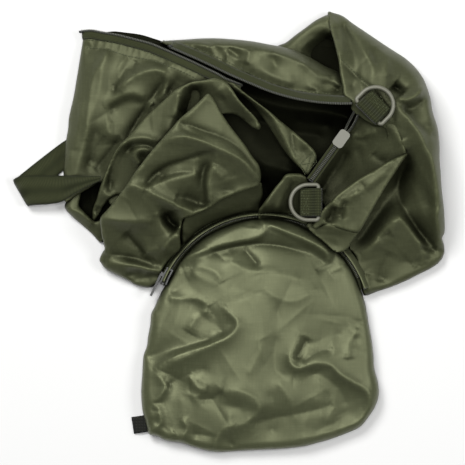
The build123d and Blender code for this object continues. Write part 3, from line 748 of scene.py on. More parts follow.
# The big bulge of the front panel.
FRONT_PANEL = dict(
    edge=[
        ("fold", (-18, 121), (-23, 117), (-29, 111), (-36, 105), (-43, 99), (-50, 91), (-58, 82), (-67, 72),
         (-75, 62), (-82, 53), (-88, 44), (-94, 36), (-101, 27), (-107, 20), (-113, 13), (-113, 6),
         (-112, -3), (-110, -14)),
        ("floor", (-112, -17), (-115, -24), (-113, -28), (-110, -32), (-103, -36), (-97, -39), (-89, -43),
         (-82, -47), (-73, -49), (-67, -48)),
        ("fold", (-62, -43), (-60, -35), (-55, -27), (-49, -20), (-43, -14), (-43, -3), (-42, 6), (-40, 12),
         (-32, 15), (-16, 22), (-6, 29), (14, 37), (24, 40), (27, 43)),
        ("fold", (28, 50), (26, 59), (20, 67), (15, 75), (8, 84), (1, 93), (-7, 105), (-13, 116)),
    ],
    levels=[
        [(-18, 120, 60), (-29, 110, 60), (-43, 98, 59), (-58, 81, 57), (-75, 61, 52), (-82, 52, 49),
         (-88, 44, 46), (-101, 26, 40), (-113, 12, 36)],
        [(-18, 120, 60), (-7, 104, 60), (1, 93, 59), (15, 75, 58), (20, 66, 57), (26, 58, 54), (28, 50, 51),
         (27, 44, 47)],
        [(-54, 79, 59), (-48, 83, 61), (-40, 84, 63), (-28, 81, 64), (-17, 77, 64), (-5, 71, 64),
         (4, 67, 63), (14, 61, 61), (21, 53, 57), (26, 47, 52)],
        [(-40, 97, 58), (-29, 93, 61), (-15, 87, 62), (-1, 79, 62), (11, 72, 61), (19, 64, 58)],
        [(-88, 40, 46), (-84, 40, 47), (-78, 40, 48), (-73, 38, 48), (-64, 33, 47), (-52, 27, 46),
         (-41, 22, 44), (-32, 19, 42)],
        [(-73, 38, 48), (-62, 43, 51), (-52, 46, 53), (-40, 49, 54), (-29, 51, 54)],
        [(-12, 61, 57), (-16, 53, 55), (-18, 43, 53), (-17, 32, 50), (-16, 26, 47)],
        [(-11, 60, 57), (-6, 53, 55), (-1, 47, 53)],
        [(6, 50, 53), (12, 40, 48)],
        [(-113, 12, 36), (-103, 11, 37), (-91, 10, 38), (-78, 10, 38), (-64, 9, 37)],
        [(-62, 17, 40), (-60, 10, 38), (-56, 2, 36), (-51, 0, 35), (-44, 0, 36)],
        [(-58, -15, 31), (-55, -10, 33), (-50, -7, 34), (-42, -5, 35)],
        [(-75, -16, 28), (-64, -15, 30), (-52, -16, 29), (-43, -15, 26)],
        [(-111, -26, 14), (-98, -27, 19), (-84, -29, 21), (-70, -33, 21), (-58, -36, 19)],
        [(-113, 11, 36), (-113, -1, 31), (-111, -15, 22), (-111, -22, 14)],
        [(-82, -42, 8), (-71, -38, 11), (-61, -38, 12)],
        [(-40, 12, 41), (-32, 14, 42), (-16, 22, 45), (-6, 28, 47), (14, 36, 47), (27, 42, 46)],
        [(-72, 42, 45), (-66, 49, 45), (-57, 55, 47), (-47, 59, 50), (-34, 63, 53), (-22, 66, 57),
         (-13, 70, 60)],
        [(-41, 92, 57), (-34, 88, 58), (-22, 84, 59)],
        [(-20, 59, 47), (-22, 48, 44), (-21, 36, 41), (-20, 27, 39)],
        [(-38, 32, 40), (-29, 28, 37), (-22, 24, 36)],
        [(-58, 19, 33), (-54, 11, 29), (-47, 6, 28), (-52, 18, 33)],
        [(-98, 3, 30), (-91, -4, 24), (-84, -11, 21), (-77, -19, 20)],
        [(-89, -22, 17), (-77, -27, 17), (-61, -29, 17)],
        [(-75, 4, 32), (-68, -5, 29), (-70, -12, 27)],
        [(-89, -37, 9), (-78, -35, 11)],
        [(-55, -21, 22), (-54, -26, 19), (-48, -22, 20)],
        [(3, 37, 45), (-4, 36, 45)],
    ],
    pleats=[
        (-4.0, 3.5, 1.8, (-44, 96), (-31, 92), (-18, 87), (-3, 81), (10, 72), (18, 62), (25, 52)),
        (4.0, 2.5, 7, (-53, 80), (-45, 83), (-35, 83), (-24, 80), (-12, 74), (0, 69), (13, 62), (21, 54),
         (26, 46)),
        (2.0, 2.5, 2.0, (-41, 96), (-31, 88), (-16, 81), (-1, 73), (13, 66)),
        (-5.5, 1.8, 9, (-72, 41), (-66, 50), (-55, 58), (-40, 63), (-24, 68), (-12, 70)),
        (3.5, 2.5, 7, (-73, 37), (-59, 30), (-43, 22), (-31, 19)),
        (5.0, 9, 1.5, (-14, 61), (-19, 51), (-20, 39), (-18, 26)),
        (1.6, 3, 2.5, (-12, 59), (-9, 53), (-5, 47)),
        (3.0, 6, 3, (-112, 12), (-101, 11), (-83, 8), (-67, 10)),
        (2.0, 3, 5, (-90, 41), (-83, 41), (-73, 37)),
        (2.5, 4, 2, (-33, 14), (-21, 21), (-7, 28), (4, 34), (21, 39), (26, 44)),
        (-5.0, 4, 4, (-92, 0), (-84, -9), (-74, -20)),
        (-7.0, 4, 5, (-55, 18), (-52, 9), (-45, 3)),
        (3.0, 3, 4, (-42, -1), (-52, -7), (-58, -15)),
        (1.6, 5, 4, (-111, -26), (-92, -29), (-70, -33), (-61, -34)),
        (-4.0, 4, 4, (-106, -19), (-87, -22), (-65, -26)),
        (2.0, 5, 5, (-61, 55), (-45, 61), (-27, 64)),
        (-3.0, 5, 6, (-47, 32), (-38, 29), (-26, 24)),
        (2.5, 4, 6, (-17, 120), (-29, 108), (-41, 95)),
        (-2.5, 3, 5, (-61, 48), (-43, 53), (-29, 53)),
    ],
)

# The long fold that hangs into the mouth and ends in a sewn tab.
CENTRE_FOLD = dict(
    edge=[
        ("under", (-6, 132), (3, 131)),
        ("fold", (12, 124), (21, 117), (29, 111), (37, 105), (45, 98), (54, 91), (62, 84), (69, 78),
         (75, 72), (77, 66), (74, 59), (69, 51)),
        ("fold", (62, 57), (55, 64), (48, 73), (41, 84), (34, 95), (26, 106), (18, 115), (8, 122),
         (-1, 127)),
    ],
    levels=[
        [(3, 131, 48), (12, 123, 46), (29, 110, 43), (45, 97, 42), (62, 83, 41), (75, 71, 40)],
        [(12, 117, 42), (24, 106, 38), (34, 97, 37), (43, 88, 38), (50, 78, 38), (56, 67, 37), (62, 58, 36),
         (68, 52, 36)],
        [(50, 88, 41), (55, 76, 40), (61, 66, 38)],
        [(8, 123, 44), (18, 116, 39), (26, 107, 35), (34, 96, 33), (41, 85, 32), (48, 73, 32), (55, 65, 33),
         (62, 57, 35)],
        [(64, 73, 36), (67, 64, 36)],
    ],
    pleats=[
        (5.0, 6, 2.2, (8, 128), (23, 118), (35, 105), (44, 90), (51, 76), (58, 62), (67, 53)),
        (-3.5, 1.8, 3, (51, 97), (55, 88), (56, 77), (60, 66)),
        (2.2, 3, 3, (59, 92), (64, 83), (70, 75)),
    ],
)

# The inner corner of the mouth, beside the lower ring.
LIT_TRIANGLE = dict(
    edge=[
        ("fold", (26, 18), (29, 24), (34, 31), (40, 39), (46, 46), (50, 51), (57, 52), (65, 51)),
        ("under", (70, 44), (67, 24), (62, 6), (49, 4), (29, 6)),
    ],
    levels=[
        [(26, 19, 32), (34, 31, 34), (46, 46, 35), (51, 51, 35), (65, 51, 35)],
        [(34, 23, 34), (41, 35, 34.5), (52, 45, 35)],
        [(43, 22, 31), (48, 32, 32), (55, 44, 34)],
        [(50, 23, 24), (55, 30, 26)],
        [(29, 17, 14), (40, 17, 14), (49, 16, 14), (62, 15, 14)],
        [(29, 6, 10), (62, 6, 10)],
    ],
    pleats=[
        (3.0, 5, 3, (29, 22), (39, 36), (48, 48), (61, 51)),
        (-3.0, 3, 3, (57, 46), (54, 34), (53, 18)),
    ],
)

# The bottom and the lining, which show in the mouth. Their near-black colour is painted shade.
INSIDE = dict(
    edge=[
        ("under", (-124, 172), (-114, 177), (-103, 179), (-92, 178), (-78, 176), (-65, 172), (-54, 169),
         (-17, 163), (29, 161), (59, 154), (78, 173), (92, 185), (124, 164), (158, 143), (173, 108),
         (180, 64), (184, 11), (182, -17), (154, -35), (122, -51), (110, -26), (62, -2), (18, -7),
         (-38, -22), (-61, -33), (-87, -33), (-108, -28), (-106, -10), (-136, 18), (-142, 37), (-142, 73),
          (-135, 125)),
    ],
    levels=[
        [(10, 125, 22), (29, 117, 18), (54, 110, 16), (89, 106, 18), (106, 101, 24)],
        [(26, 64, 14), (38, 59, 16), (55, 54, 18)],
        [(33, 73, 12), (54, 66, 16)],
        [(62, 99, 8), (89, 95, 8)],
        [(-114, 169, 3), (-26, 156, 4), (45, 150, 4)],
        [(-122, 125, 3), (-131, 55, 3), (-128, 18, 3)],
        [(133, 125, 3), (168, 46, 3), (168, -15, 3)],
        [(-87, -33, 3), (-52, -26, 3), (62, 0, 4)],
        [(29, 99, 6), (54, 90, 4), (80, 86, 5)],
        [(29, 46, 6), (36, 29, 6)],
    ],
    pleats=[
    ],
)

# The facing on the right side of the mouth, under the rings.
INNER_FACING = dict(
    edge=[
        ("fold", (108, 92), (103, 86), (99, 79), (92, 71), (86, 63), (80, 54), (76, 45), (77, 39)),
        ("under", (82, 29), (89, 18), (102, 24), (120, 37), (137, 51), (152, 64)),
        ("fold", (156, 68), (154, 76), (151, 84), (148, 92), (143, 99)),
        ("under", (136, 104), (124, 106), (114, 103)),
    ],
    levels=[
        [(108, 92, 33), (99, 79, 33), (86, 63, 32), (76, 45, 31)],
        [(143, 98, 53), (151, 84, 51), (155, 69, 48)],
        [(117, 87, 38), (128, 90, 46), (138, 95, 51)],
        [(121, 76, 33), (131, 81, 41), (143, 87, 49)],
        [(126, 64, 34), (136, 71, 41), (149, 76, 47)],
        [(102, 71, 18), (95, 59, 13), (87, 48, 11), (82, 37, 10)],
        [(108, 59, 19), (101, 48, 14), (92, 37, 12)],
        [(114, 73, 25), (117, 60, 25), (112, 51, 21)],
    ],
    pleats=[
        (1.6, 1.6, 1.6, (108, 86), (115, 84), (121, 86)),
        (-1.6, 1.6, 1.6, (110, 83), (117, 81), (122, 83)),
        (1.4, 1.8, 1.8, (118, 88), (124, 87), (129, 89)),
        (-3.0, 3, 4, (126, 70), (133, 64), (139, 62)),
        (2.0, 3, 3, (136, 94), (145, 87), (150, 76)),
    ],
)

# The flap between the mouth and the right side.
FLAP_BAND = dict(
    edge=[
        ("fold", (156, 69), (147, 66), (137, 61), (128, 55), (117, 49), (108, 43), (100, 37), (94, 32),
         (88, 26), (82, 20), (77, 13), (73, 6), (76, 3), (81, 6)),
        ("fold", (84, 7), (92, 5), (102, 2), (113, 0)),
        ("fold", (118, 6), (123, 15), (129, 26), (136, 38), (145, 52), (153, 64)),
    ],
    levels=[
        [(155, 68, 51), (137, 60, 49), (117, 48, 47), (100, 37, 44), (88, 25, 41), (78, 13, 38),
         (74, 6, 35)],
        [(156, 68, 51), (145, 52, 49), (136, 38, 47), (129, 26, 44), (122, 15, 41), (114, 0, 37)],
        [(108, 33, 46), (115, 37, 48), (126, 43, 49), (136, 50, 50)],
        [(105, 29, 45), (102, 18, 43), (100, 6, 39)],
        [(98, 22, 43), (92, 27, 43)],
        [(92, 27, 43), (87, 20, 41), (80, 9, 37)],
        [(102, 30, 43), (99, 23, 40), (94, 15, 36), (90, 10, 35)],
        [(112, 24, 44), (108, 9, 39)],
        [(124, 36, 46), (136, 48, 48)],
    ],
    pleats=[
        (3.5, 2.5, 6, (155, 69), (140, 62), (120, 52), (103, 41), (92, 30), (82, 17), (77, 6)),
        (-6.0, 3.5, 3, (92, 23), (90, 16), (86, 9)),
        (2.5, 2, 3, (90, 27), (95, 23), (96, 16)),
        (3.0, 3, 4, (98, 20), (99, 27), (106, 31), (115, 36)),
        (-3.5, 2, 3, (103, 28), (100, 20), (99, 12)),
        (2.5, 6, 4, (154, 66), (143, 50), (133, 32), (122, 15), (114, 0)),
        (2.5, 5, 6, (147, 62), (131, 50), (119, 39)),
    ],
)

# The hem at the foot of that flap.
HEM_FLAP = dict(
    edge=[
        ("fold", (83, 8), (87, 10), (98, 6), (108, 2), (114, 0), (109, -7), (104, -15)),
        ("under", (94, -17), (82, -7), (73, 0), (68, 7)),
        ("fold", (73, 9), (78, 6)),
    ],
    levels=[
        [(83, 7, 35), (98, 4, 34), (113, -1, 33)],
        [(113, -1, 33), (104, -14, 27)],
        [(68, 6, 30), (80, -3, 28), (94, -12, 26)],
        [(85, 0, 30), (99, -5, 29)],
    ],
    pleats=[
        (1.6, 3, 3, (84, 7), (99, 3), (113, 0)),
    ],
)

# The stow pouch's round end is an arc, in whole millimetres, from its left side over the top to its right.
POUCH_END_CENTRE = (30, -79)
POUCH_END_RADIUS = 92
POUCH_END_ANGLES = (155, 140, 125, 110, 95, 80, 65, 50, 35, 25)
POUCH_ROUND_END = [(round(POUCH_END_CENTRE[0] + POUCH_END_RADIUS * math.cos(math.radians(angle))),
                    round(POUCH_END_CENTRE[1] + POUCH_END_RADIUS * math.sin(math.radians(angle))))
                   for angle in POUCH_END_ANGLES]

# The front of the stow pouch.
POUCH_FRONT = dict(
    edge=[
        ("floor", *POUCH_ROUND_END,
         (117, -51), (120, -60), (122, -69), (124, -81), (126, -92), (128, -107), (129, -121),
         (132, -132), (133, -143), (130, -154), (123, -165), (116, -173), (105, -178), (92, -183),
         (78, -187), (66, -190), (48, -192), (30, -193), (10, -194), (-12, -195), (-30, -191),
         (-42, -187), (-55, -185), (-64, -181), (-71, -179), (-73, -172), (-75, -165), (-77, -157),
         (-78, -141), (-77, -125), (-76, -110), (-73, -101), (-72, -93), (-70, -82), (-69, -72),
         (-66, -66), (-63, -59), (-58, -49)),
    ],
    levels=[
        [(25, 12, 18), (29, 5, 21), (24, -3, 21), (8, -7, 21), (-8, -12, 20), (-22, -15, 19),
         (-33, -20, 18), (-44, -28, 15)],
        [(33, 12, 19), (46, 3, 23), (62, -3, 23), (77, -11, 23), (88, -19, 21), (90, -27, 18)],
        [(98, -15, 17), (103, -21, 18), (100, -29, 17), (92, -36, 16)],
        [(-64, -122, 18), (-50, -115, 21), (-33, -107, 23), (-20, -101, 24), (-8, -95, 25), (3, -89, 25),
         (8, -82, 25), (3, -73, 24), (-6, -67, 23), (-18, -64, 22)],
        [(-64, -122, 18), (-58, -128, 19), (-56, -136, 20), (-61, -143, 19), (-65, -149, 18),
         (-68, -154, 16)],
        [(60, -86, 24), (55, -99, 24), (54, -110, 24), (59, -119, 24), (77, -113, 24), (92, -110, 23),
         (106, -106, 21), (112, -93, 17)],
        [(90, -117, 23), (102, -129, 23), (114, -135, 21), (121, -142, 19), (125, -152, 17),
         (120, -163, 15), (106, -171, 14), (92, -176, 14)],
        [(1, -26, 23), (18, -33, 25), (40, -35, 26), (62, -42, 25)],
        [(-30, -37, 20), (-12, -46, 23), (10, -56, 25)],
        [(80, -51, 23), (93, -64, 22), (102, -81, 20)],
        [(-43, -59, 20), (-47, -79, 20), (-55, -95, 18)],
        [(18, -59, 26), (29, -77, 26), (29, -99, 26), (18, -123, 26)],
        [(-26, -130, 23), (-6, -140, 24), (15, -146, 25), (29, -156, 23)],
        [(45, -134, 25), (55, -149, 24), (59, -165, 21)],
        [(-43, -147, 20), (-38, -165, 19), (-29, -179, 15)],
        [(1, -161, 22), (-3, -176, 19), (3, -188, 12)],
        [(78, -147, 22), (82, -163, 20), (77, -179, 15)],
        [(-14, -17, 16), (1, -14, 17), (14, -11, 17), (30, -10, 18), (46, -11, 18), (58, -13, 18),
         (69, -15, 17), (84, -25, 15)],
        [(14, -15, 18), (20, -23, 20), (26, -31, 22)],
        [(-18, -95, 20), (-34, -100, 18), (-54, -104, 16), (-71, -110, 12)],
        [(-6, -88, 21), (-15, -79, 20), (-26, -72, 19)],
        [(-52, -134, 16), (-39, -128, 19), (-21, -121, 21)],
        [(70, -99, 21), (84, -95, 20), (98, -90, 18)],
        [(71, -123, 21), (85, -128, 20), (98, -139, 18), (103, -151, 16)],
        [(-32, -28, 16), (-38, -42, 16), (-50, -52, 14)],
        [(41, -95, 23), (40, -119, 22), (48, -126, 22)],
        [(10, -154, 21), (-8, -151, 21), (-20, -144, 21)],
        [(36, -143, 22), (41, -158, 20), (38, -176, 15)],
    ],
    pleats=[
        (4.0, 3, 9, (-66, -123), (-55, -113), (-35, -104), (-17, -99), (-1, -92), (6, -85), (7, -79),
         (2, -73), (-6, -67)),
        (2.2, 3, 4, (-66, -123), (-58, -132), (-56, -137), (-62, -146), (-68, -151), (-62, -157),
         (-70, -164)),
        (3.5, 2.5, 6, (25, 14), (31, 8), (31, 0), (18, -7), (-3, -10), (-21, -16), (-38, -22), (-46, -30),
         (-41, -35)),
        (3.5, 5, 3, (26, 14), (36, 7), (49, 1), (66, -6), (79, -12), (87, -19), (87, -26)),
        (2.5, 3, 3, (97, -13), (103, -20), (100, -29), (89, -36)),
        (-2.5, 2.5, 4, (95, -17), (91, -27), (77, -35)),
        (-2.5, 2, 4, (13, -14), (18, -20), (26, -29)),
        (-3.0, 2.5, 3, (-14, -16), (2, -13), (18, -10), (39, -11), (54, -14), (71, -19)),
        (3.5, 7, 3.5, (64, -86), (61, -95), (54, -109), (55, -116), (62, -120), (75, -116), (89, -117),
         (98, -125), (109, -132), (121, -140), (125, -149), (123, -158), (114, -168), (89, -177),
          (62, -183)),
        (-3.5, 2.5, 4, (70, -93), (65, -103), (60, -113)),
        (-2.0, 4, 3, (65, -114), (78, -105), (92, -103)),
        (2.5, 4, 4, (115, -85), (107, -97), (105, -112)),
        (2.2, 8, 2.5, (-54, -59), (-35, -58), (-23, -61), (-18, -67)),
        (2.2, 2.5, 9, (-37, -88), (-30, -76), (-18, -67)),
        (2.0, 4, 3, (-36, -126), (-28, -137), (-19, -140)),
        (-2.5, 4, 4, (-27, -147), (-15, -147), (-6, -140)),
        (2.5, 5, 6, (-6, -140), (10, -140), (24, -147), (26, -158), (14, -169), (-1, -174)),
        (1.8, 2.5, 2.5, (-73, -176), (-61, -169), (-62, -158)),
        (1.8, 2.5, 2.5, (-45, -185), (-37, -174), (-42, -165)),
        (2.0, 3, 3, (-13, -193), (-11, -183), (-6, -175), (6, -169)),
        (1.6, 2.5, 2.5, (-55, -183), (-48, -176)),
        (-2.5, 6, 9, (18, -169), (45, -163), (71, -158), (93, -152)),
        (2.0, 8, 5, (-39, -37), (-26, -31), (-12, -35), (-6, -45)),
        (1.8, 7, 7, (29, -49), (47, -59), (62, -59), (78, -49)),
    ],
)

# The cloth that joins the pouch to the bag, behind the pouch's zip.
POUCH_MOUTH = dict(
    edge=[
        ("under", (-36, 16), (-16, 29), (-6, 34), (14, 42), (27, 44)),
        ("fold", (29, 41), (30, 32), (28, 23)),
        ("under", (29, 17), (24, 9), (4, 6), (-13, 0), (-26, -8), (-35, -17)),
        ("fold", (-40, -15), (-42, -7), (-43, 2), (-41, 11)),
    ],
    levels=[
        [(-40, 17, 36), (-16, 29, 38), (14, 40, 39), (29, 44, 39)],
        [(-40, 7, 30), (-26, 15, 31), (-6, 23, 31.5), (15, 32, 31.5), (29, 37, 31)],
        [(-40, 0, 26), (-26, 11, 27), (-6, 19, 27.5), (15, 27, 27.5), (29, 29, 27)],
        [(-42, -9, 21), (-31, 3, 21), (-17, 12, 21), (-1, 18, 21), (15, 22, 21), (29, 23, 21)],
        [(-43, -26, 5), (-35, -13, 5), (-24, -4, 5), (-11, 3, 5), (4, 9, 5), (22, 13, 5)],
    ],
    pleats=[
        (1.5, 2, 2, (-38, -3), (-26, 6), (-11, 13), (6, 19), (22, 23)),
        (-1.5, 1.5, 1.5, (-29, -1), (-15, 6), (3, 12), (17, 15)),
    ],
)


# ---------------------------------------------------------------- the bag's cloth
def cloth(name, shape, seed, body, nodes, material=OUTER, crumple=1.0, pucker=()):
    """One piece of fabric in place. It returns the surface that stitches on it follow."""
    surface = Fabric(**shape, seed=seed, crumple=crumple, pucker=pucker)
    on_body(surface.build(name, material), body, "nylon", *nodes)
    return surface


BACK_HEM = [(-47, 166), (-26, 159), (-9, 151), (8, 142), (26, 133), (46, 125), (70, 121), (89, 119)]
TOP_HEM = [(-128, 168), (-109, 166), (-89, 161), (-66, 154), (-43, 145), (-24, 135)]

cloth("bottom_and_lining", INSIDE, 1, "bag", ["bottom_panel"], LINING_PAINTED_SHADE, crumple=0.4)
back = cloth("back_panel_cloth", BACK_PANEL, 2, "bag", ["back_panel"], crumple=0.4, pucker=[BACK_HEM])
cloth("back_corner_cloth", PEAK_LEAF, 3, "bag", [])
right = cloth("right_side_cloth", RIGHT_SHELL, 4, "bag", ["right_end_panel"], crumple=0.5)
top = cloth("top_panel_cloth", TOP_PANEL, 5, "bag", ["top_panel"], crumple=0.6, pucker=[TOP_HEM])
cloth("left_end_cloth", LEFT_END, 6, "bag", ["left_end_panel"], crumple=0.4)
cloth("front_outer_fold", OUTER_FOLD, 7, "bag", [], crumple=0.4)
cloth("front_panel_cloth", FRONT_PANEL, 8, "bag", ["front_panel", "pouch_hem_band"], crumple=0.6)
centre = cloth("mouth_centre_fold", CENTRE_FOLD, 9, "bag", [], crumple=0.4)
cloth("mouth_inner_corner", LIT_TRIANGLE, 10, "bag", [], crumple=0.4)
cloth("mouth_facing_cloth", INNER_FACING, 11, "bag", ["mouth_facing"], crumple=0.4)
cloth("mouth_flap_cloth", FLAP_BAND, 12, "bag", ["side_gusset"], crumple=0.4)
cloth("mouth_flap_hem", HEM_FLAP, 13, "bag", [])
pouch_panels = ["pouch_front_panel", "pouch_back_panel"]
cloth("pouch_front_cloth", POUCH_FRONT, 14, "pouch", pouch_panels, POUCH, crumple=0.45)

# This piece joins the pouch to the bag. It is baked in place and rides neither body.
joining = Fabric(**POUCH_MOUTH, seed=15, crumple=0.4).build("pouch_mouth_cloth", OUTER)
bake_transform(joining)


# ---------------------------------------------------------------- straps, zips and stitches
def capsules(name, pairs, radius, material):
    """Many small round-ended bars in one mesh, such as stitches or zip teeth, from their end points in mm."""
    sides = 6
    vertices, faces = [], []
    for start, end in pairs:
        start, end = Vector(start), Vector(end)
        along = (end - start).normalized()
        across = along.orthogonal().normalized()
        upward = along.cross(across)
        base = len(vertices)
        for share, size in ((0.0, 0.45), (0.18, 1.0), (0.82, 1.0), (1.0, 0.45)):
            middle = start.lerp(end, share)
            for k in range(sides):
                turn = 2 * math.pi * k / sides
                vertices.append(middle + size * radius * (across * math.cos(turn) + upward * math.sin(turn)))
        for ring in range(3):
            for k in range(sides):
                a, b = base + ring * sides + k, base + ring * sides + (k + 1) % sides
                faces.append((a, b, b + sides, a + sides))
        faces.append(tuple(base + k for k in reversed(range(sides))))
        faces.append(tuple(base + 3 * sides + k for k in range(sides)))
    return add_mesh(name, vertices, faces, material)


def seam_thread(name, pairs, radius):
    """Stitches of the bag's thread between pairs of points."""
    piece = capsules(name, pairs, radius, THREAD)
    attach(piece, "bag")


def stitches(name, rows, surface, length=2.0, pitch=3.0):
    """Rows of stitches that lie on a piece of the bag's cloth."""
    lift = 0.15
    pairs = []
    for row in rows:
        path = smooth_path(row, 0.5)[:, :2]
        travel = travelled(path)
        for start in np.arange(0, travel[-1] - length, pitch):
            ends = [[np.interp(at, travel, path[:, k]) for k in (0, 1)] for at in (start, start + length)]
            heights = surface.height([e[0] for e in ends], [e[1] for e in ends])
            pairs.append([(*e, h + lift) for e, h in zip(ends, heights)])
    seam_thread(name, pairs, 0.34)


def strap(name, sections, thickness, material, across=10):
    """Flat webbing through cross-sections, each given by its left and right edge in mm."""
    both = smooth_path([(*left, *right) for left, right in sections], 1.5)
    shares = np.linspace(0, 1, across + 1)
    grid = both[:, None, :3] * (1 - shares[None, :, None]) + both[:, None, 3:] * shares[None, :, None]
    along, over = np.gradient(grid, axis=0), np.gradient(grid, axis=1)
    normal = np.cross(over, along)
    normal /= np.maximum(np.linalg.norm(normal, axis=2, keepdims=True), 1e-9)
    edge = np.minimum(shares, 1 - shares) * across
    half = thickness / 2 * np.where(edge < 0.5, 0.45, 1.0)[None, :, None]
    rows, columns = grid.shape[:2]
    upper, lower = grid + normal * half, grid - normal * half
    vertices = np.vstack((upper.reshape(-1, 3), lower.reshape(-1, 3)))
    faces, total = [], rows * columns
    for i in range(rows - 1):
        for j in range(columns - 1):
            a = i * columns + j
            faces.append((a, a + 1, a + columns + 1, a + columns))
            faces.append((total + a, total + a + columns, total + a + columns + 1, total + a + 1))
        for j, turn in ((0, 1), (columns - 1, -1)):
            a, b = i * columns + j, (i + 1) * columns + j
            faces.append((a, b, total + b, total + a)[::turn])
    for i, turn in ((0, -1), (rows - 1, 1)):
        for j in range(columns - 1):
            a = i * columns + j
            faces.append((a, a + 1, total + a + 1, total + a)[::-turn])
    piece = add_mesh(name, vertices, faces, material)
    width = np.linalg.norm(both[0, 3:] - both[0, :3]) * MM
    travel = travelled(both[:, :3]) * MM
    uv = piece.data.uv_layers.new(name="strap")
    for loop in piece.data.loops:
        i, j = divmod(loop.vertex_index % total, columns)
        uv.data[loop.index].uv = (shares[j] * width, travel[i])
    tidy_normals(piece)
    return piece


def sideways(path):
    """Unit vectors to the left of a path, level with the floor."""
    ahead = np.gradient(path, axis=0)[:, :2]
    ahead /= np.maximum(np.linalg.norm(ahead, axis=1, keepdims=True), 1e-9)
    return np.column_stack((-ahead[:, 1], ahead[:, 0], np.zeros(len(path))))


def along_path(points, pitch):
    """Places every pitch along a path: the point, the unit vector to its left, and the next point."""
    path = smooth_path(points, 0.4)
    left = sideways(path)
    travel = travelled(path)

    def between(values, at):
        return np.array([np.interp(at, travel, values[:, k]) for k in range(3)])

    for at in np.arange(0.4, travel[-1] - pitch, pitch):
        yield between(path, at), between(left, at), between(path, at + pitch)


TOOTH_PITCH = 1.5
TOOTH_RADIUS = 0.42
TAPE_REACH = 6.5              # from the teeth to the tape's outer edge
TAPE_THICKNESS = 0.9


def zip_half(name, points, side, surface=None, nodes=(), tape_nodes=()):
    """Half an open zip: a row of teeth towards the opening, the cord in them, and the tape on the cloth."""
    up = np.array([0, 0, 1.0])
    teeth, cords, tape = [], [], []
    for here, left, ahead in along_path(points, TOOTH_PITCH):
        out = left * side
        teeth.append((here - 0.5 * out + 1.0 * up, here + 1.8 * out + 1.1 * up))
        cords.append((here + 0.4 * out + 0.5 * up, ahead + 0.4 * out + 0.5 * up))
        if surface:
            far = here - TAPE_REACH * out
            far[2] = surface.height([far[0]], [far[1]])[0] + 0.7
            tape.append((tuple(here + 0.8 * out), tuple(far)))
    on_body(capsules(name + "_teeth", teeth, TOOTH_RADIUS, COIL), "bag", "zip_coil", *nodes)
    on_body(capsules(name + "_cord", cords, 0.95, CHAIN_CORD), "bag", "zip_tape")
    if tape:
        strip = strap(name + "_tape", tape[::4] + tape[-1:], TAPE_THICKNESS, TAPE, across=4)
        on_body(strip, "bag", "zip_tape", *tape_nodes)


FRONT_ZIP = [(-131, 178, 10.5), (-122, 178.5, 13), (-112, 176.5, 16), (-99, 174, 19.5), (-84, 170, 24),
             (-70, 166, 28), (-58, 161, 31), (-45, 155, 35), (-32, 149, 39), (-20, 143, 43),
             (-10, 138, 46.5), (-3, 134, 46), (5, 131, 42), (12, 128.5, 36)]
BACK_ZIP = [(-52, 164, 27), (-45, 161, 29), (-34, 156, 32.5), (-21, 150, 36), (-10, 144.5, 39.5),
            (1, 139, 43), (18, 131.5, 46.5), (36, 124, 49.5), (54, 118.5, 52.5), (66, 116, 54),
            (80, 114, 55.5), (96, 113, 57), (108, 113, 58)]
zip_half("main_zip_front", FRONT_ZIP, 1, top, ["main_zip_coil_front"], ["main_zip_tape_front"])
zip_half("main_zip_back", BACK_ZIP, -1, back, ["main_zip_coil_back"], ["main_zip_tape_back"])
zip_half("main_zip_parting_left", [(100.5, 88, 36), (103.5, 95, 40), (106.5, 101, 46), (109.5, 107, 53)], -1)
zip_half("main_zip_parting_right", [(104, 87, 36), (108, 91.5, 40), (111, 97, 46), (113.5, 103, 52)], 1)

# Below the slider the two halves of the zip run together to their end.
CHAIN_TOP = np.array([96.5, 79.5, 34.0])
CHAIN_WAY = np.array([0.585, 0.811, 0.0])
CHAIN_LEFT = np.array([-0.811, 0.585, 0.0])
CHAIN_LENGTH = 42
CLOSED_TAPE_HALF = 4.2        # half the width of the tape beside the closed teeth
chain_end = CHAIN_TOP - CHAIN_LENGTH * CHAIN_WAY
chain_line = [chain_end, (chain_end + CHAIN_TOP) / 2, CHAIN_TOP]
closed = []
for spot in chain_line:
    low, aside = spot - (0, 0, TAPE_THICKNESS), CLOSED_TAPE_HALF * CHAIN_LEFT
    closed.append((tuple(low + aside), tuple(low - aside)))
on_body(strap("main_zip_closed_tape", closed, TAPE_THICKNESS, TAPE), "bag", "zip_tape")
chain = list(along_path(chain_line, TOOTH_PITCH))
teeth = [(spot - 1.7 * left + (0, 0, 0.7), spot + 1.7 * left + (0, 0, 0.7)) for spot, left, _ in chain]
on_body(capsules("main_zip_closed_teeth", teeth, TOOTH_RADIUS, COIL), "bag", "zip_coil")
cords = [(spot + side * 1.3 * left + (0, 0, 0.2), ahead + side * 1.3 * left + (0, 0, 0.2))
         for spot, left, ahead in chain for side in (-1, 1)]
on_body(capsules("main_zip_closed_cords", cords, 0.8, CHAIN_CORD), "bag", "zip_tape")

# Cast stops hold the ends of the zip's teeth.
stop_bars = [((x - 2.2, y, z + 1.0), (x + 2.2, y, z + 1.2)) for x, y, z in (FRONT_ZIP[0], BACK_ZIP[0])]
stop_bars.append((chain_end + 2.6 * CHAIN_LEFT + (0, 0, 0.8), chain_end - 2.6 * CHAIN_LEFT + (0, 0, 0.8)))
on_body(capsules("main_zip_stop_bars", stop_bars, 1.2, DARK_METAL), "bag", "dark_metal", "main_zip_stops")

# ---------------------------------------------------------------- the D-rings' tabs and the handle
WEBBING_HALF = 12.5           # half the width of the 25 mm webbing
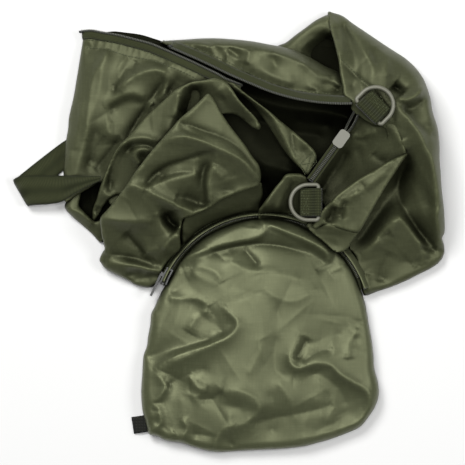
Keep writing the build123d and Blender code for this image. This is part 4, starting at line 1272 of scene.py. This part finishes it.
# The tab's way round the ring's bar: how far on the sewn side of the bar, and the height over its foot.
TAB_LINE = [(16, 0.6), (10, 0.6), (3, 0.7), (-1.6, 2.3), (-2.9, 4.6), (-1.7, 6.8), (0.8, 7.2), (3.5, 5.4),
            (6.5, 2.9), (10, 2.2), (16, 1.9)]
# The corners of the sewn box and its cross, in the order in which they are sewn.
BOX_LINE = [(7, -10), (14.5, -10), (14.5, 10), (7, 10), (7, -10), (14.5, 10), (14.5, -10), (7, 10)]
BOX_STITCH = 2.8
# Each ring: the middle of its tab's foot, the way its bar runs, and the way to the tab's sewn end.
RING_PLACES = {
    "upper": (np.array([121, 104.5, 58]), np.array([0.707, -0.707, 0]), np.array([0.707, 0.707, 0])),
    "lower": (np.array([78.5, 26.5, 34]), np.array([0, 1, 0]), np.array([-1, 0, 0])),
}
for ring_name, (middle, bar, sewn_way) in RING_PLACES.items():
    line = [middle + y * sewn_way + (0, 0, z) for y, z in TAB_LINE]
    sections = [(tuple(spot - WEBBING_HALF * bar), tuple(spot + WEBBING_HALF * bar)) for spot in line]
    tab = strap(f"ring_tab_{ring_name}_webbing", sections, 1.2, WEBBING)
    on_body(tab, "bag", "webbing", f"ring_tab_{ring_name}")
    corners = [middle + y * sewn_way + x * bar + (0, 0, 2.75) for y, x in BOX_LINE]
    pairs = []
    for a, b in zip(corners, corners[1:]):
        count = int(np.linalg.norm(b - a) // BOX_STITCH)
        pairs += [(a + (b - a) * (k + 0.15) / count, a + (b - a) * (k + 0.8) / count) for k in range(count)]
    seam_thread(f"ring_tab_{ring_name}_stitches", pairs, 0.3)

# The handle comes out of the bag, runs to the left, folds over and goes back along the floor.
HANDLE_SECTIONS = [
    ((-113, 49.8, 25.8), (-114, 45.5, 25)), ((-122, 50, 23.4), (-124, 41, 22)),
    ((-133, 50.2, 19.5), (-135, 35, 18.5)), ((-147, 50.5, 13.6), (-148, 27.5, 13.2)),
    ((-165, 50.6, 13), (-159, 25.2, 13)), ((-184, 50.2, 12), (-172, 24.4, 12)),
    ((-191.5, 47, 8), (-178.4, 23.6, 9)), ((-191.8, 46, 3.5), (-178.6, 23.4, 4)),
    ((-188, 49.5, 1.4), (-173, 29, 1.4)), ((-168, 65.5, 1.3), (-160, 43, 1.3)),
    ((-147, 81.3, 1.4), (-147, 55.5, 1.5)), ((-137, 86, 2), (-137, 60, 2.4)),
]
handle = strap("carry_handle_webbing", HANDLE_SECTIONS, 1.6, WEBBING)
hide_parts("carry_handle", "handle_sewn_ends")
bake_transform(handle)

# ---------------------------------------------------------------- the pouch's zip
POUCH_MIDDLE = np.array([30.0, -79.0])


def round_pouch(radius, height, start, sweep, count):
    """Points round the pouch's round end, with the start and the sweep in degrees."""
    turns = np.radians(np.linspace(start, start + sweep, count))
    return [(*(POUCH_MIDDLE + radius * np.array([math.cos(a), math.sin(a)])), height) for a in turns]


flap = list(zip(round_pouch(94.4, 19.5, 158, -140, 40), round_pouch(100.0, 12.0, 158, -140, 40)))
on_body(strap("pouch_zip_flap", flap, 1.2, POUCH, across=6), "pouch", "nylon")
tape = list(zip(round_pouch(90.0, 11.5, 160, -142, 40), round_pouch(97.0, 6.0, 160, -142, 40)))
on_body(strap("pouch_zip_band", tape, 1.0, TAPE, across=6), "pouch", "zip_tape", "pouch_zip_tape")
teeth = list(zip(round_pouch(92.2, 12.4, 159, -134, 150), round_pouch(94.4, 11.8, 159, -134, 150)))
on_body(capsules("pouch_zip_teeth", teeth, 0.5, COIL), "pouch", "zip_coil", "pouch_zip_coil")

for row, (radius, level) in enumerate([(95.8, 18.4), (98.2, 15.3)]):
    ends = round_pouch(radius, level, 154, -110, 240)
    thread = capsules(f"pouch_zip_stitches_{row}", list(zip(ends[::3], ends[2::3])), 0.3, THREAD)
    on_body(thread, "pouch", "webbing")

# The pouch's back lies on the floor with the front's creases, almost flat. It shows when the pouch folds up.
BACK_RELIEF = 0.12
front = bpy.data.objects["pouch_front_cloth"].data
points = [(spot.co.x / MM, spot.co.y / MM, 0.4 + BACK_RELIEF * spot.co.z / MM) for spot in front.vertices]
faces = [tuple(reversed(face.vertices)) for face in front.polygons]
on_body(add_mesh("pouch_back_cloth", points, faces, POUCH), "pouch", "nylon")

# The blank side label is a strip of cloth sewn into the pouch's left seam. Its line runs out from the seam.
LABEL_SEAM = np.array([(-74.6, -162.5), (-72.3, -177.5)])
LABEL_WAY = np.array([-0.988, -0.152])
label_line = [(-0.4, 2.2), (3.5, 2.7), (7.5, 2.5), (10.5, 1.9), (12.4, 1.2)]
label_sections = [[(*(corner + out * LABEL_WAY), height) for corner in LABEL_SEAM]
                  for out, height in label_line]
on_body(strap("side_label_cloth", label_sections, 0.9, LABEL), "label", "label", "side_label")

# ---------------------------------------------------------------- sewn lines
TOP_ROWS = [
    [(-128, 171), (-109, 169), (-87, 164), (-65, 156), (-43, 147), (-21, 136)],
    [(-127, 164), (-109, 162), (-90, 156), (-66, 151), (-43, 142), (-27, 134)],
]
BACK_ROWS = [
    [(-48, 168), (-26, 161), (-6, 152), (10, 144), (29, 134), (49, 126), (71, 123), (89, 121)],
    [(-45, 163), (-27, 156), (-11, 149), (6, 140), (24, 132), (43, 125), (67, 119), (89, 118)],
]
RIGHT_ROWS = [[(98, 152), (110, 140), (119, 131), (125, 126)], [(132, 119), (137, 110), (144, 101)]]
TAB = [(62, 59), (73, 71), (77, 62), (67, 51)]
TAB_ROWS = [[a, b] for a, b in zip(TAB, TAB[1:] + TAB[:1])] + [[TAB[0], TAB[2]], [TAB[1], TAB[3]]]
stitches("top_panel_stitches", TOP_ROWS, top)
stitches("back_panel_stitches", BACK_ROWS, back)
stitches("right_side_stitches", RIGHT_ROWS, right)
stitches("mouth_tab_stitches", TAB_ROWS, centre, length=1.4, pitch=2.0)

# ---------------------------------------------------------------- carried-over CAD pieces
FINISHES = {
    "nylon": OUTER, "webbing": WEBBING, "zip_tape": TAPE, "zip_coil": COIL, "ring_metal": RING_METAL,
    "slider_metal": SLIDER_METAL, "dark_metal": DARK_METAL, "label": LABEL,
}
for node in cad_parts.values():
    for index, held in enumerate(node.material_slots):
        for slot_name, finish in FINISHES.items():
            if held.material and slot_name in held.material.name:
                node.material_slots[index].material = finish

# ---------------------------------------------------------------- floor, light and camera
def make_floor():
    """A plain pale floor of six metres by six."""
    size = 3000
    corners = [(-size, -size, 0), (size, -size, 0), (size, size, 0), (-size, size, 0)]
    paper, _, _, surface = shader("floor_paper", 0.9, 0.1)
    surface.inputs["Base Color"].default_value = (0.86, 0.86, 0.85, 1)
    add_mesh("floor", corners, [(0, 1, 2, 3)], paper, smooth=False)


def soft_light(name, place, size, power):
    """A square light that faces the middle of the bag."""
    light = bpy.data.lights.new(name, "AREA")
    light.size = size
    light.energy = power
    lamp = bpy.data.objects.new(name, light)
    lamp.location = place
    lamp.rotation_euler = (-Vector(place)).to_track_quat("-Z", "Y").to_euler()
    bpy.context.scene.collection.objects.link(lamp)


make_floor()
soft_light("key_light", (-0.7, 1.0, 1.7), 0.8, 30)
soft_light("side_light", (1.2, 0.1, 1.4), 0.7, 10)
soft_light("top_light", (0.0, 0.1, 3.0), 1.1, 36)

world = bpy.data.worlds.new("studio")
world.use_nodes = True
world.node_tree.nodes["Background"].inputs["Color"].default_value = (0.95, 0.97, 1.0, 1)
world.node_tree.nodes["Background"].inputs["Strength"].default_value = 0.08
bpy.context.scene.world = world
bpy.context.scene.view_settings.view_transform = "Standard"

CAMERA_HEIGHT = 2.5
PHOTO_WIDTH = 0.4095          # what the picture covers at the bag's middle height, in m
camera_data = bpy.data.cameras.new("camera")
camera_data.sensor_width = 36
camera_data.lens = 36 * (CAMERA_HEIGHT - 0.03) / PHOTO_WIDTH
camera = bpy.data.objects.new("camera", camera_data)
camera.location = (0.0031, 0.0, CAMERA_HEIGHT)
bpy.context.scene.collection.objects.link(camera)
bpy.context.scene.camera = camera
